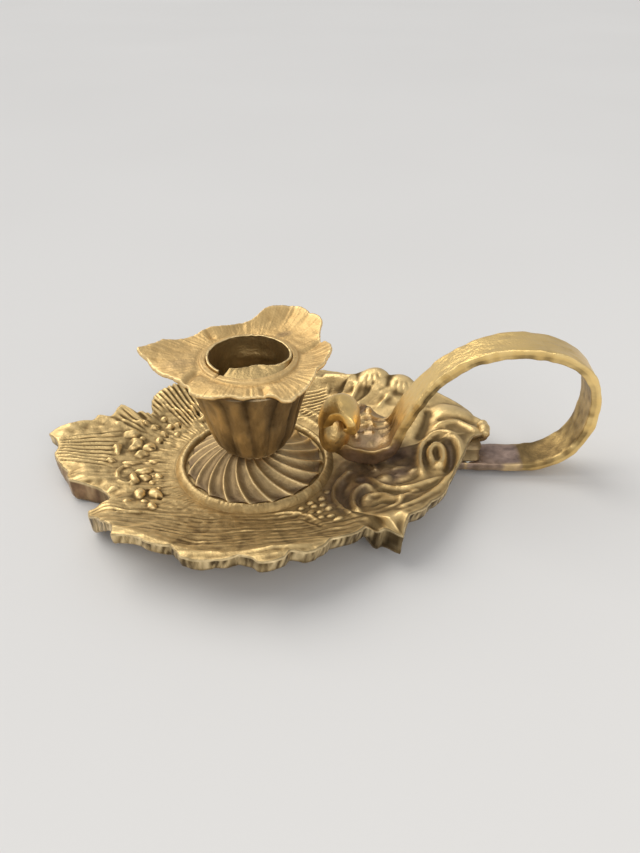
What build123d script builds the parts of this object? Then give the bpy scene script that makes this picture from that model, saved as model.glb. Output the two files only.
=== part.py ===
"""Cast brass chamberstick: leaf-shaped tray, swirled foot, fluted cup, lift-out nozzle
with a four-petal drip pan, and a strap handle that closes a finger loop.

Millimetres, +Z up, the table at z = 0, the candle on the Z axis, the handle towards +X.
"""
import os
from math import atan2, cos, hypot, pi, radians, sin
from build123d import *

os.makedirs("parts", exist_ok=True)

# Clearances shared by the pieces
slip_clearance = 0.3
hole_clearance = 0.3
press_clearance = 0.05

# Tray: a leaf-shaped dish on a low foot ring
floor_underside = 0.5
floor_thickness = 2.9
leaf_wall = 2.6
bead_gap = 0.3
bead_width = 2.8
bead_height = 1.6
bead_sink = 0.2
foot_ring_outer_radius = 28.0
foot_ring_width = 3.0
leaf_reach = 60.0
leaf_half_width = 50.0
dish_end_inset = 4.0
dish_front_inset = 2.0
dish_back_inset = 14.0
dish_end_rise = 6.3
dish_front_rise = 11.0
dish_back_rise = 9.6
rim_ripple = 0.7
dish_columns = 18
dish_rows = 15
dish_power_share = 1.35
ripple_count = 9
well_radius = 8.0
well_rise = 2.5
stem_roll_radius = 1.5
stem_roll_length = 6.0
lug_length = 7.0
lug_width = 7.5
leaf_seat_sink = 0.1
seat_reach = 31.3
seat_length = 13.0
seat_width = 9.0

# Raised ornament of the tray
ornament_rise = 1.2
ornament_root = 1.2
slope_step = 1.0
scroll_width = 2.4
scroll_samples = 10
petal_radius = 1.5
petal_ring_radius = 2.3
petal_count = 5
shell_length = 9.0
shell_width = 6.6
leaf_lobe_length = 11.0
leaf_lobe_width = 6.0
rib_width = 1.5
tip_rib_radius = 49.0
tip_rib_length = 10.0
back_rib_radius = 38.5
back_rib_length = 7.0

# Swirled foot under the cup
foot_outer_radius = 19.2
foot_height = 6.4
foot_flutes = 20
foot_flute_depth = 1.1
foot_wall = 1.6
foot_twist = 34.0

# Fluted cup
cup_height = 25.1
cup_mouth_radius = 17.2
cup_flutes = 16
cup_floor_thickness = 3.0
cup_flute_depth = 0.45
sump_radius = 9.2

# Nozzle: drip pan and split sleeve
candle_bore_radius = 10.6
sleeve_wall = 0.6
sleeve_length = 15.2
sleeve_stand = 1.1
sleeve_slit = 1.2
slit_bearing = -127.0
pan_hub_thickness = 2.2
pan_hub_radius = 16.8
pan_wall = 1.5
pan_reach = 22.0
pan_flat_radius = 14.0
pan_curl_length = 10.0
pan_lift = 1.4
pan_back_lift = 1.6
pan_front_drop = 4.4
pan_side_lift = 0.3
pan_columns = 15
pan_rows = 13
collar_width = 1.5
collar_height = 0.7

# Handle strap
handle_offset = 2.8
handle_reach = 94.0
handle_height = 41.0
strap_thickness = 2.4
strap_ground_gap = 2.0
strap_width = 10.4
curl_reach = 14.4
curl_height = 14.3
strap_samples = 14
leaf_fold_length = 17.0
leaf_fold_height = 7.5
leaf_fold_offset = 4.0
leaf_fold_lift = 1.2
leaf_fold_shift = 1.0
leaf_fold_tilt = 50.0
leaf_fold_pitch = 11.0

# Soldered joints under the handle ends
solder_thickness = 0.4
solder_margin = 1.0

# Fastening through cup, foot and tray
screw_radius = 2.0
screw_head_radius = 4.2
screw_head_height = 1.8
screw_slot_width = 1.0
screw_slot_depth = 0.8
washer_radius = 4.6
washer_thickness = 0.7
nut_across_flats = 7.0
nut_thickness = 1.9

# Heights that follow from the stack
floor_top = floor_underside + floor_thickness
bead_outer_radius = foot_outer_radius + bead_gap + bead_width
foot_top = floor_top + foot_height
cup_top = foot_top + cup_height
pan_hub_top = cup_top + pan_hub_thickness
mouth_height = pan_hub_top + sleeve_stand
sleeve_bottom = mouth_height - sleeve_length
sleeve_outer_radius = candle_bore_radius + sleeve_wall
cup_bore_radius = sleeve_outer_radius + slip_clearance
pan_hole_radius = sleeve_outer_radius + press_clearance
strap_top = strap_ground_gap + strap_thickness
lug_bottom = strap_top + solder_thickness
well_underside = floor_underside + well_rise
cup_floor_top = foot_top + cup_floor_thickness
stem_reach = leaf_reach + lug_length / 2 + solder_margin
dish_end_reach = leaf_reach - dish_end_inset
dish_front_reach = leaf_half_width - dish_front_inset
dish_back_reach = leaf_half_width - dish_back_inset

# Rim of the leaf, anticlockwise from the stem: x and y as shares of leaf_reach and
# leaf_half_width, then the outward bulge of the next stretch as a share of its chord
leaf_edge_shares = [
    (1.115, 0.17, 0.10),
    (1.065, 0.29, 0.10),
    (0.945, 0.50, 0.10),
    (0.81, 0.565, 0.12),
    (0.72, 0.65, 0.20),
    (0.675, 0.62, 0.05),
    (0.59, 0.695, 0.20),
    (0.495, 0.64, 0.05),
    (0.35, 0.745, 0.22),
    (0.235, 0.68, 0.10),
    (0.085, 0.77, 0.22),
    (-0.065, 0.69, 0.10),
    (-0.215, 0.72, 0.22),
    (-0.335, 0.60, 0.10),
    (-0.495, 0.565, 0.22),
    (-0.535, 0.40, -0.12),
    (-0.605, 0.35, -0.08),
    (-0.685, 0.39, -0.10),
    (-0.735, 0.305, 0.05),
    (-0.79, 0.305, -0.08),
    (-0.815, 0.255, 0.08),
    (-0.90, 0.205, 0.10),
    (-0.99, 0.11, -0.12),
    (-0.925, 0.02, -0.08),
    (-0.93, -0.04, 0.08),
    (-0.845, -0.16, 0.10),
    (-0.805, -0.28, -0.10),
    (-0.70, -0.30, -0.10),
    (-0.615, -0.375, -0.10),
    (-0.68, -0.505, 0.12),
    (-0.61, -0.64, 0.08),
    (-0.535, -0.735, -0.06),
    (-0.505, -0.855, -0.05),
    (-0.385, -0.885, 0.10),
    (-0.265, -0.92, -0.05),
    (-0.22, -0.99, 0.06),
    (-0.09, -1.005, 0.12),
    (0.0, -0.985, -0.08),
    (0.075, -1.04, 0.22),
    (0.195, -0.97, -0.05),
    (0.25, -0.975, 0.12),
    (0.35, -0.865, 0.10),
    (0.49, -0.76, -0.05),
    (0.60, -0.71, -0.08),
    (0.64, -0.81, -0.10),
    (0.685, -0.675, 0.08),
    (0.775, -0.545, 0.08),
    (0.87, -0.365, 0.05),
    (0.92, -0.225, 0.05),
    (0.99, -0.04, -0.05),
    (1.045, 0.075, 0.15),
]

# Scrolls raised on the dish, as shares of leaf_reach and leaf_half_width: the great volute,
# two flowing stems in front of it and the fold above it
scroll_shares = [
    [
        (0.80, -0.31),
        (0.775, -0.19),
        (0.775, -0.05),
        (0.81, 0.07),
        (0.865, 0.105),
        (0.915, 0.06),
        (0.93, -0.05),
        (0.91, -0.17),
    ],
    [(0.56, -0.25), (0.64, -0.305), (0.70, -0.355)],
    [(0.58, -0.53), (0.65, -0.51), (0.72, -0.45), (0.78, -0.39)],
    [(0.80, 0.19), (0.88, 0.21), (0.95, 0.21)],
]
volute_eye_share = (0.85, -0.09)
flower_shares = [(-0.573, 0.10), (-0.49, -0.16), (-0.445, -0.39)]

# Ovals and ribs of the ornament: places as above with the bearing of the long side in
# degrees for the ovals, and the bearings from the candle for the ribs
shell_shares = [(0.58, 0.595, 55.0), (0.695, 0.54, 40.0)]
leaf_lobe_share = (0.51, -0.41, -38.0)
tip_rib_bearings = (170.0, 173.5, 177.0, 183.0, 186.5)
back_rib_bearings = (126.0, 130.0, 134.0, 142.5, 146.0, 149.5)

# Rim of the drip pan in the same way, as shares of pan_reach both ways
pan_edge_shares = [
    (0.98, 0.12, 0.10),
    (0.855, 0.39, -0.06),
    (0.875, 0.72, 0.16),
    (0.72, 0.935, 0.16),
    (0.44, 1.07, 0.08),
    (0.135, 0.96, -0.08),
    (-0.19, 0.76, -0.05),
    (-0.58, 0.62, -0.05),
    (-1.07, 0.34, -0.05),
    (-1.33, 0.055, 0.12),
    (-1.195, -0.08, 0.05),
    (-0.93, -0.37, -0.05),
    (-0.65, -0.60, -0.05),
    (-0.62, -0.70, 0.10),
    (-0.145, -0.805, 0.05),
    (0.22, -0.765, -0.08),
    (0.41, -0.85, 0.20),
    (0.59, -0.755, 0.10),
    (0.815, -0.345, 0.08),
    (0.935, -0.095, 0.10),
]

# Middle line of the strap. The curl goes back from the middle of the seat and up from the
# strap lying on it, as shares of curl_reach and curl_height. The rise goes from the seat as
# shares of the way to the end of the stem, and the round end of the loop as shares of the
# way from there to handle_reach, both with heights as shares of handle_height
curl_shares = [
    (0.365, 0.687),
    (0.30, 0.859),
    (0.463, 1.0),
    (0.66, 0.916),
    (0.743, 0.643),
    (0.711, 0.371),
    (0.569, 0.17),
    (0.378, 0.041),
]
rise_shares = [
    (0.224, 0.24),
    (0.266, 0.335),
    (0.346, 0.49),
    (0.544, 0.725),
    (0.694, 0.835),
    (0.883, 0.92),
    (1.158, 0.97),
]
loop_shares = [
    (0.522, 0.94),
    (0.80, 0.835),
    (0.93, 0.68),
    (0.952, 0.48),
    (0.892, 0.295),
    (0.745, 0.16),
]
low_start_share = 0.49
bend_shares = (0.5, 0.5)

# Half widths of the handle seen from above as shares of strap_width: over the curl, back from
# the seat as shares of curl_reach, then out from the seat as shares of the way to handle_reach
curl_width_shares = [
    (1.0, 0.24),
    (0.74, 0.36),
    (0.35, 0.60),
]
strap_width_shares = [
    (0.01, 0.73),
    (0.10, 0.68),
    (0.19, 0.53),
    (0.295, 0.44),
    (0.43, 0.45),
    (0.625, 0.50),
    (1.03, 0.50),
]

# Heights and radii of the cup's outside as shares of its height and its mouth radius
cup_section_shares = [
    (0.0, 0.36),
    (0.055, 0.50),
    (0.15, 0.60),
    (0.31, 0.69),
    (0.51, 0.765),
    (0.71, 0.85),
    (0.87, 0.935),
    (1.0, 1.0),
]

# Heights above the edge and radii of the swirled foot as shares of its height and radius,
# then the share of the twist and of the flute depth reached there
foot_section_shares = [
    (0.0, 1.0, 0.0, 1.0),
    (0.12, 0.985, 0.03, 1.0),
    (0.42, 0.83, 0.28, 0.9),
    (0.72, 0.61, 0.6, 0.7),
    (0.93, 0.43, 0.88, 0.45),
    (1.0, 0.355, 1.0, 0.3),
]


def dish_height(x, y):
    """Top of the dish: level inside the bead, rising to a rippled rim."""
    radius = hypot(x, y)
    bearing = atan2(y, x)
    endways = cos(bearing) ** 4
    side_rise = dish_back_rise if y > 0 else dish_front_rise
    side_reach = dish_back_reach if y > 0 else dish_front_reach
    rise = side_rise + (dish_end_rise - side_rise) * endways
    reach = side_reach + (dish_end_reach - side_reach) * endways
    outward = (radius - bead_outer_radius) / (reach - bead_outer_radius)
    outward = min(max(outward, 0), 1)
    ripple = rim_ripple * cos(ripple_count * bearing) * outward**2
    return floor_top + rise * outward**dish_power_share + ripple


def pan_height(x, y):
    """Top of the drip pan: level at the hub, lifting to the back petal and falling in front."""
    radius = hypot(x, y)
    bearing = atan2(y, x)
    outward = max((radius - pan_flat_radius) / pan_curl_length, 0)
    tilt = pan_back_lift if y > 0 else pan_front_drop
    lift = pan_lift + tilt * sin(bearing) + pan_side_lift * cos(bearing)
    return pan_hub_top + lift * outward**2


def spread(height_at, half_length, half_width, columns, rows):
    """A smooth face through the heights on a grid of points."""
    grid = []
    for i in range(columns + 1):
        x = -half_length + 2 * half_length * i / columns
        line = []
        for j in range(rows + 1):
            y = -half_width + 2 * half_width * j / rows
            line.append(Vector(x, y, height_at(x, y)))
        grid.append(line)
    return Face.make_surface_from_array_of_points(grid)


def lobed_edge(shares, x_size, y_size):
    """Draws a closed rim of arcs through the corners of a table of shares."""
    for (xa, ya, bulge), (xb, yb, _) in zip(shares, shares[1:] + shares[:1]):
        start = Vector(xa * x_size, ya * y_size)
        end = Vector(xb * x_size, yb * y_size)
        chord = end - start
        middle = (start + end) / 2 + Vector(chord.Y, -chord.X) * bulge
        ThreePointArc(start, middle, end)


def beside(edge, distance, count):
    """Points at a set distance to the left of a line."""
    points = []
    for i in range(count + 1):
        tangent = edge.tangent_at(i / count)
        points.append(edge.position_at(i / count) + Vector(-tangent.Y, tangent.X) * distance)
    return points


def on_dish(x, y):
    """A plane lying along the dish at a place, sunk by the root of the ornament."""
    x_slope = (dish_height(x + slope_step, y) - dish_height(x - slope_step, y)) / (2 * slope_step)
    y_slope = (dish_height(x, y + slope_step) - dish_height(x, y - slope_step)) / (2 * slope_step)
    flat = Plane((x, y, dish_height(x, y)), x_dir=(1, 0, x_slope), z_dir=(-x_slope, -y_slope, 1))
    return flat.offset(-ornament_root)


def on_leaf(share):
    """A place on the tray from shares of its reach and half width."""
    return Vector(share[0] * leaf_reach, share[1] * leaf_half_width)


def draw_band(points, width, count):
    """Draws the closed outline of a band of even width along a smooth line."""
    with BuildLine(mode=Mode.PRIVATE) as middle:
        Spline(*points)
    left = beside(middle.edges()[0], width / 2, count)
    right = beside(middle.edges()[0], -width / 2, count)
    Spline(*left)
    Spline(*right)
    Line(left[0], right[0])
    Line(left[-1], right[-1])


def fluted_ring(radius, count, depth, turn):
    """Draws a closed ring of arcs; a positive depth sinks each arc between two ridges."""
    for i in range(count):
        a = turn + 2 * pi * i / count
        b = turn + 2 * pi * (i + 1) / count
        m = (a + b) / 2
        inner = radius - depth
        ThreePointArc(
            (radius * cos(a), radius * sin(a)),
            (inner * cos(m), inner * sin(m)),
            (radius * cos(b), radius * sin(b)),
        )


# Ornament of the tray: each form lies along the dish where it stands and is rooted in its wall
ornament_height = ornament_root + ornament_rise
with BuildPart() as ornament:
    for scroll in scroll_shares:
        places = [on_leaf(share) for share in scroll]
        centre = sum(places, Vector()) / len(places)
        scroll_plane = on_dish(centre.X, centre.Y)
        flat_places = []
        for place in places:
            local = scroll_plane.to_local_coords(Vector(place.X, place.Y, dish_height(place.X, place.Y)))
            flat_places.append(Vector(local.X, local.Y))
        with BuildSketch(scroll_plane):
            with BuildLine():
                draw_band(flat_places, scroll_width, scroll_samples)
            make_face()
        extrude(amount=ornament_height)
    eye = on_leaf(volute_eye_share)
    with BuildSketch(on_dish(eye.X, eye.Y)):
        Circle(scroll_width)
    extrude(amount=ornament_height)
    for share in flower_shares:
        heart = on_leaf(share)
        with BuildSketch(on_dish(heart.X, heart.Y)):
            with PolarLocations(petal_ring_radius, petal_count):
                Circle(petal_radius)
        extrude(amount=ornament_height)
    for x_share, y_share, bearing in shell_shares:
        shell = on_leaf((x_share, y_share))
        with BuildSketch(on_dish(shell.X, shell.Y)):
            Ellipse(shell_length / 2, shell_width / 2, rotation=bearing)
        extrude(amount=ornament_height)
    lobe = on_leaf(leaf_lobe_share)
    with BuildSketch(on_dish(lobe.X, lobe.Y)):
        Ellipse(leaf_lobe_length / 2, leaf_lobe_width / 2, rotation=leaf_lobe_share[2])
    extrude(amount=ornament_height)
    for bearings, radius, length in (
        (tip_rib_bearings, tip_rib_radius, tip_rib_length),
        (back_rib_bearings, back_rib_radius, back_rib_length),
    ):
        for bearing in bearings:
            rib = Vector(radius, 0).rotate(Axis.Z, bearing)
            with BuildSketch(on_dish(rib.X, rib.Y)):
                Rectangle(length, rib_width, rotation=bearing)
            extrude(amount=ornament_height)

# Tray
leaf_seat_height = dish_height(seat_reach + seat_length / 2, handle_offset) - leaf_seat_sink
lug_top = dish_height(leaf_reach, handle_offset) - leaf_wall / 2
handle_base = leaf_seat_height + solder_thickness
dish_face = spread(
    dish_height, leaf_reach * 6 / 5, leaf_half_width * 6 / 5, dish_columns, dish_rows
)
with BuildPart() as tray:
    extrude(dish_face, amount=leaf_wall, dir=(0, 0, -1))
    # Lug under the stem that stands on the strap
    with BuildSketch(Plane.XY.offset(lug_bottom)) as strap_lug:
        with Locations((leaf_reach, handle_offset)):
            RectangleRounded(lug_length, lug_width, lug_length / 4)
    extrude(amount=lug_top - lug_bottom)
    add(ornament.part)
    # The leaf's lobed outline trims the dish
    with BuildSketch(Plane.XY) as leaf_outline:
        with BuildLine():
            lobed_edge(leaf_edge_shares, leaf_reach, leaf_half_width)
        make_face()
    extrude(amount=handle_height, mode=Mode.INTERSECT)
    with BuildSketch(Plane.XY) as centre:
        Circle(bead_outer_radius - bead_width / 2)
    extrude(amount=handle_height, mode=Mode.SUBTRACT)
    # Level floor with the bead and the raised well over the nut
    with BuildSketch(Plane.XZ) as floor_section:
        with BuildLine():
            Polyline(
                (0, well_underside),
                (well_radius - floor_thickness, well_underside),
                (well_radius - floor_thickness, floor_underside),
                (bead_outer_radius - bead_width / 4, floor_underside),
                (bead_outer_radius - bead_width / 4, floor_top),
                (well_radius, floor_top),
                (well_radius, floor_top + well_rise),
                (0, floor_top + well_rise),
                close=True,
            )
        make_face()
        with Locations((bead_outer_radius - bead_width / 2, floor_top - bead_sink)):
            Ellipse(bead_width / 2, bead_height + bead_sink)
    revolve(axis=Axis.Z)
    # Foot ring the tray stands on
    with BuildSketch(Plane.XY) as foot_ring:
        Circle(foot_ring_outer_radius)
        Circle(foot_ring_outer_radius - foot_ring_width, mode=Mode.SUBTRACT)
    extrude(amount=floor_top - leaf_wall / 2)
    # Flat seat for the leaf end of the handle
    with BuildSketch(Plane.XY.offset(floor_top - leaf_wall / 2)) as leaf_seat:
        with Locations((seat_reach, handle_offset)):
            Ellipse(seat_length / 2, seat_width / 2)
    extrude(amount=leaf_seat_height - floor_top + leaf_wall / 2)
    # Rolled end of the stem
    with BuildSketch(Plane.XZ.offset(-handle_offset - stem_roll_length * 5 / 4)) as stem_roll:
        with Locations((leaf_reach + lug_length * 3 / 4, floor_top + dish_end_rise)):
            Circle(stem_roll_radius)
    extrude(amount=stem_roll_length)
    with BuildSketch(Plane.XY) as screw_way:
        Circle(screw_radius + hole_clearance)
    extrude(amount=handle_height, mode=Mode.SUBTRACT)
tray.part.label = "tray"
export_step(tray.part, "parts/tray.step")

# Swirled foot
with BuildPart() as swirl_foot:
    for level, girth, turn, sink in foot_section_shares:
        with BuildSketch(Plane.XY.offset(floor_top + foot_height * level)):
            with BuildLine():
                fluted_ring(
                    foot_outer_radius * girth,
                    foot_flutes,
                    foot_flute_depth * sink,
                    radians(-foot_twist) * turn,
                )
            make_face()
    loft()
    with BuildSketch(Plane.XZ) as foot_hollow:
        with BuildLine():
            Polyline(
                (0, floor_top),
                (foot_outer_radius - 2 * foot_wall, floor_top),
                (foot_outer_radius / 2, foot_top - 2 * foot_wall),
                (0, foot_top - 2 * foot_wall),
                close=True,
            )
        make_face()
    revolve(axis=Axis.Z, mode=Mode.SUBTRACT)
    with BuildSketch(Plane.XY) as foot_way:
        Circle(screw_radius + hole_clearance)
    extrude(amount=handle_height, mode=Mode.SUBTRACT)
swirl_foot.part.label = "swirl_foot"
export_step(swirl_foot.part, "parts/swirl_foot.step")

# Fluted cup
with BuildPart() as candle_cup:
    for level, girth in cup_section_shares:
        with BuildSketch(Plane.XY.offset(foot_top + cup_height * level)):
            with BuildLine():
                fluted_ring(cup_mouth_radius * girth, cup_flutes, -cup_flute_depth * girth, 0)
            make_face()
    loft()
    with BuildSketch(Plane.XY.offset(cup_floor_top)) as sump:
        Circle(sump_radius * 4 / 5)
    with BuildSketch(Plane.XY.offset(cup_floor_top + cup_floor_thickness)) as sump_top:
        Circle(sump_radius)
    loft(mode=Mode.SUBTRACT)
    with BuildSketch(Plane.XY.offset(cup_floor_top + cup_floor_thickness)) as sump_wall:
        Circle(sump_radius)
    extrude(amount=cup_height, mode=Mode.SUBTRACT)
    with BuildSketch(Plane.XY.offset(sleeve_bottom - slip_clearance)) as cup_bore:
        Circle(cup_bore_radius)
    extrude(amount=cup_height, mode=Mode.SUBTRACT)
    with BuildSketch(Plane.XY) as cup_way:
        Circle(screw_radius + hole_clearance)
    extrude(amount=cup_top, mode=Mode.SUBTRACT)
candle_cup.part.label = "candle_cup"
export_step(candle_cup.part, "parts/candle_cup.step")

# Drip pan
pan_face = spread(pan_height, pan_reach * 7 / 5, pan_reach * 6 / 5, pan_columns, pan_rows)
with BuildPart() as drip_pan:
    extrude(pan_face, amount=pan_wall, dir=(0, 0, -1))
    with BuildSketch(Plane.XY.offset(foot_top)) as pan_outline:
        with BuildLine():
            lobed_edge(pan_edge_shares, pan_reach, pan_reach)
        make_face()
    extrude(amount=cup_top, mode=Mode.INTERSECT)
    with BuildSketch(Plane.XY.offset(cup_top)) as hub:
        Circle(pan_hub_radius)
    extrude(amount=pan_hub_thickness - pan_wall / 2)
    with BuildSketch(Plane.XY.offset(pan_hub_top - pan_wall / 2)) as collar:
        Circle(pan_hole_radius + collar_width)
    extrude(amount=collar_height + pan_wall / 2)
    with BuildSketch(Plane.XY) as sleeve_way:
        Circle(pan_hole_radius)
    extrude(amount=2 * cup_top, mode=Mode.SUBTRACT)
drip_pan.part.label = "drip_pan"
export_step(drip_pan.part, "parts/drip_pan.step")

# Split sleeve
with BuildPart() as candle_sleeve:
    with BuildSketch(Plane.XY.offset(sleeve_bottom)) as sleeve_ring:
        Circle(sleeve_outer_radius)
        Circle(candle_bore_radius, mode=Mode.SUBTRACT)
        with Locations(Rotation(0, 0, slit_bearing)):
            with Locations((sleeve_outer_radius, 0)):
                Rectangle(sleeve_outer_radius, sleeve_slit, mode=Mode.SUBTRACT)
    extrude(amount=sleeve_length)
candle_sleeve.part.label = "candle_sleeve"
export_step(candle_sleeve.part, "parts/candle_sleeve.step")

# Handle: one strap, curled at the leaf end, standing on the tray and running under its stem
base_line = handle_base + strap_thickness / 2
low_line = strap_ground_gap + strap_thickness / 2
stem_span = stem_reach - seat_reach
loop_span = handle_reach - stem_reach
strap_span = handle_reach - seat_reach
base_start = Vector(seat_reach - seat_length / 4, base_line)
base_end = Vector(seat_reach + seat_length / 4, base_line)
low_start = Vector(stem_reach + low_start_share * loop_span, low_line)
low_end = Vector(leaf_reach - lug_length, low_line)
curl_points = []
for back, up in curl_shares:
    curl_points.append(Vector(seat_reach - back * curl_reach, base_line + up * curl_height))
rise_points = [Vector(seat_reach + x * stem_span, z * handle_height) for x, z in rise_shares]
loop_points = [Vector(stem_reach + x * loop_span, z * handle_height) for x, z in loop_shares]
with BuildLine() as curl_line:
    Spline(*curl_points, base_start, tangents=[(1, 2), (1, 0)], tangent_scalars=bend_shares)
with BuildLine() as loop_line:
    Spline(
        base_end,
        *rise_points,
        *loop_points,
        low_start,
        tangents=[(1, 0), (-1, 0)],
        tangent_scalars=bend_shares,
    )
plan = [(seat_reach - x * curl_reach, w * strap_width) for x, w in curl_width_shares]
plan += [(seat_reach + x * strap_span, w * strap_width) for x, w in strap_width_shares]
near_side = [Vector(x, handle_offset - half_width) for x, half_width in plan]
fold_limit = leaf_fold_offset + solder_margin
far_side = [Vector(x, handle_offset + min(half_width, fold_limit)) for x, half_width in plan]
fold_place = Vector(leaf_fold_shift, leaf_fold_offset, leaf_fold_lift)
fold_place += Vector(seat_reach, handle_offset, handle_base)
with BuildPart() as handle:
    with BuildSketch(Plane.XZ.offset(-handle_offset - strap_width)) as strap_side:
        with BuildLine():
            ends = []
            for half in (strap_thickness / 2, -strap_thickness / 2):
                curl_side = beside(curl_line.edges()[0], half, strap_samples)
                loop_side = beside(loop_line.edges()[0], half, 2 * strap_samples)
                low_tail = low_end - Vector(0, half)
                Spline(*curl_side)
                Line(curl_side[-1], loop_side[0])
                Spline(*loop_side)
                Line(loop_side[-1], low_tail)
                ends.append((curl_side[0], low_tail))
            Line(ends[0][0], ends[1][0])
            Line(ends[0][1], ends[1][1])
        make_face()
        with Locations(curl_points[0]):
            Circle(strap_thickness * 3 / 4)
    extrude(amount=strap_width * 2)
    with BuildSketch(Plane.XY) as strap_plan:
        with BuildLine():
            Spline(*near_side)
            Spline(*far_side)
            Line(near_side[0], far_side[0])
            Line(near_side[-1], far_side[-1])
        make_face()
    extrude(amount=2 * handle_height, mode=Mode.INTERSECT)
    # Far side of the leaf, raised towards the viewer
    with BuildSketch(Plane(fold_place).rotated((leaf_fold_tilt, -leaf_fold_pitch, 0))) as leaf_fold:
        with BuildLine():
            EllipticalCenterArc((0, 0), leaf_fold_length / 2, leaf_fold_height, arc_size=180)
            Line((-leaf_fold_length / 2, 0), (leaf_fold_length / 2, 0))
        make_face()
    extrude(amount=strap_thickness)
handle.part.label = "handle"
export_step(handle.part, "parts/handle.step")

# Brazed pad under the leaf end and soldered pad over the lower end of the strap
with BuildPart() as front_braze:
    with BuildSketch(Plane.XY.offset(leaf_seat_height)) as braze_pad:
        with Locations((seat_reach, handle_offset)):
            Ellipse(seat_length / 4, seat_width / 2 - solder_margin / 2)
    extrude(amount=solder_thickness)
front_braze.part.label = "front_braze"
export_step(front_braze.part, "parts/front_braze.step")
with BuildPart() as rear_solder:
    with BuildSketch(Plane.XY.offset(strap_top)) as solder_pad:
        with Locations((leaf_reach, handle_offset)):
            RectangleRounded(lug_length + solder_margin, lug_width + solder_margin, lug_length / 4)
    extrude(amount=solder_thickness)
rear_solder.part.label = "rear_solder"
export_step(rear_solder.part, "parts/rear_solder.step")

# Screw, washer and nut that hold cup, foot and tray together
nut_bottom = well_underside - washer_thickness - nut_thickness
with BuildPart() as centre_screw:
    with BuildSketch(Plane.XY.offset(nut_bottom)) as shank:
        Circle(screw_radius)
    extrude(amount=cup_floor_top - nut_bottom)
    with BuildSketch(Plane.XY.offset(cup_floor_top)) as head:
        Circle(screw_head_radius)
    extrude(amount=screw_head_height)
    chamfer(centre_screw.edges().group_by(Axis.Z)[-1], screw_head_height / 3)
    with BuildSketch(Plane.XY.offset(cup_floor_top + screw_head_height - screw_slot_depth)) as slot:
        Rectangle(3 * screw_head_radius, screw_slot_width)
    extrude(amount=screw_head_height, mode=Mode.SUBTRACT)
centre_screw.part.label = "centre_screw"
export_step(centre_screw.part, "parts/centre_screw.step")
with BuildPart() as washer:
    with BuildSketch(Plane.XY.offset(nut_bottom + nut_thickness)) as washer_ring:
        Circle(washer_radius)
        Circle(screw_radius + hole_clearance, mode=Mode.SUBTRACT)
    extrude(amount=washer_thickness)
washer.part.label = "washer"
export_step(washer.part, "parts/washer.step")
with BuildPart() as nut:
    with BuildSketch(Plane.XY.offset(nut_bottom)) as nut_hex:
        RegularPolygon(nut_across_flats / 2, 6, major_radius=False)
        Circle(screw_radius + press_clearance, mode=Mode.SUBTRACT)
    extrude(amount=nut_thickness)
nut.part.label = "nut"
export_step(nut.part, "parts/nut.step")
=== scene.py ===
import math
import bpy
import numpy as np
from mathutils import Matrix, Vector
from mathutils.bvhtree import BVHTree


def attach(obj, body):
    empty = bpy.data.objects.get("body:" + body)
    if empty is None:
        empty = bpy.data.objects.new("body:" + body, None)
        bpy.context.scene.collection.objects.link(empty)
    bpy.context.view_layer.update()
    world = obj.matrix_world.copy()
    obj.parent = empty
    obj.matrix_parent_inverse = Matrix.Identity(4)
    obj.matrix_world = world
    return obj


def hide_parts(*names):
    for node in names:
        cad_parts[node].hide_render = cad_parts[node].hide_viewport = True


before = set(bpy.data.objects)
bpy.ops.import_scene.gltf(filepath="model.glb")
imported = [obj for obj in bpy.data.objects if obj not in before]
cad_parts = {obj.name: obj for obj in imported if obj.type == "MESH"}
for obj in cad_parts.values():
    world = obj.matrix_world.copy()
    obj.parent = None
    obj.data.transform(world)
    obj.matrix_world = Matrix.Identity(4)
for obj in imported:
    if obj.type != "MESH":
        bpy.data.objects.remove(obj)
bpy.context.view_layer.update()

# All shapes below are worked out in millimetres and scaled to metres when a mesh is made
MM = 0.001
# Heights on the tray and up the candle axis
FLOOR_TOP = 3.4
FOOT_TOP = 9.8
CUP_TOP = 34.9
PAN_TOP = 37.1
# Radii of the bead moulding on the tray and of the screw hole
BEAD_INNER = 19.5
BEAD_WIDTH = 2.8
BEAD_OUTER = 22.3
HOLE = 2.3
# Middle of the strap, which lies a little off the candle axis, and of its lug on the stem
STRAP_Y = 2.8
LUG_X = 60.0


def ease(start, end, value):
    """0 before start, 1 after end, smooth between them."""
    t = np.clip((value - start) / (end - start), 0, 1)
    return t * t * (3 - 2 * t)


def turn_gap(a, b):
    """Smallest angle between bearings in degrees."""
    return np.abs((a - b + 180) % 360 - 180)


def noise(x, y, size, seed):
    """Smooth noise from -1 to 1 on cells of one size."""
    cells = 64
    table = np.random.default_rng(seed).random((cells, cells))
    u, v = x / size, y / size
    i, j = np.floor(u).astype(int), np.floor(v).astype(int)
    f, g = u - i, v - j
    f, g = f * f * (3 - 2 * f), g * g * (3 - 2 * g)
    i, j, next_i, next_j = i % cells, j % cells, (i + 1) % cells, (j + 1) % cells
    low = table[i, j] * (1 - f) + table[next_i, j] * f
    high = table[i, next_j] * (1 - f) + table[next_i, next_j] * f
    return 2 * (low * (1 - g) + high * g) - 1


def ring_noise(place, seed, shift=0.0):
    """Noise along one line of unit cells, or along one beside it."""
    return noise(place, 0 * place + shift, 1.0, seed)


def smooth_line(points, per=8):
    """A smooth curve through given points."""
    p = np.array(points, float)
    p = np.vstack([2 * p[0] - p[1], p, 2 * p[-1] - p[-2]])
    line = []
    for i in range(1, len(p) - 2):
        a, b, c, d = p[i - 1], p[i], p[i + 1], p[i + 2]
        for t in np.arange(per) / per:
            bend = (2 * a - 5 * b + 4 * c - d) * t * t + (3 * b - a - 3 * c + d) * t ** 3
            line.append(0.5 * (2 * b + (c - a) * t + bend))
    line.append(p[-2])
    return np.array(line)


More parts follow.
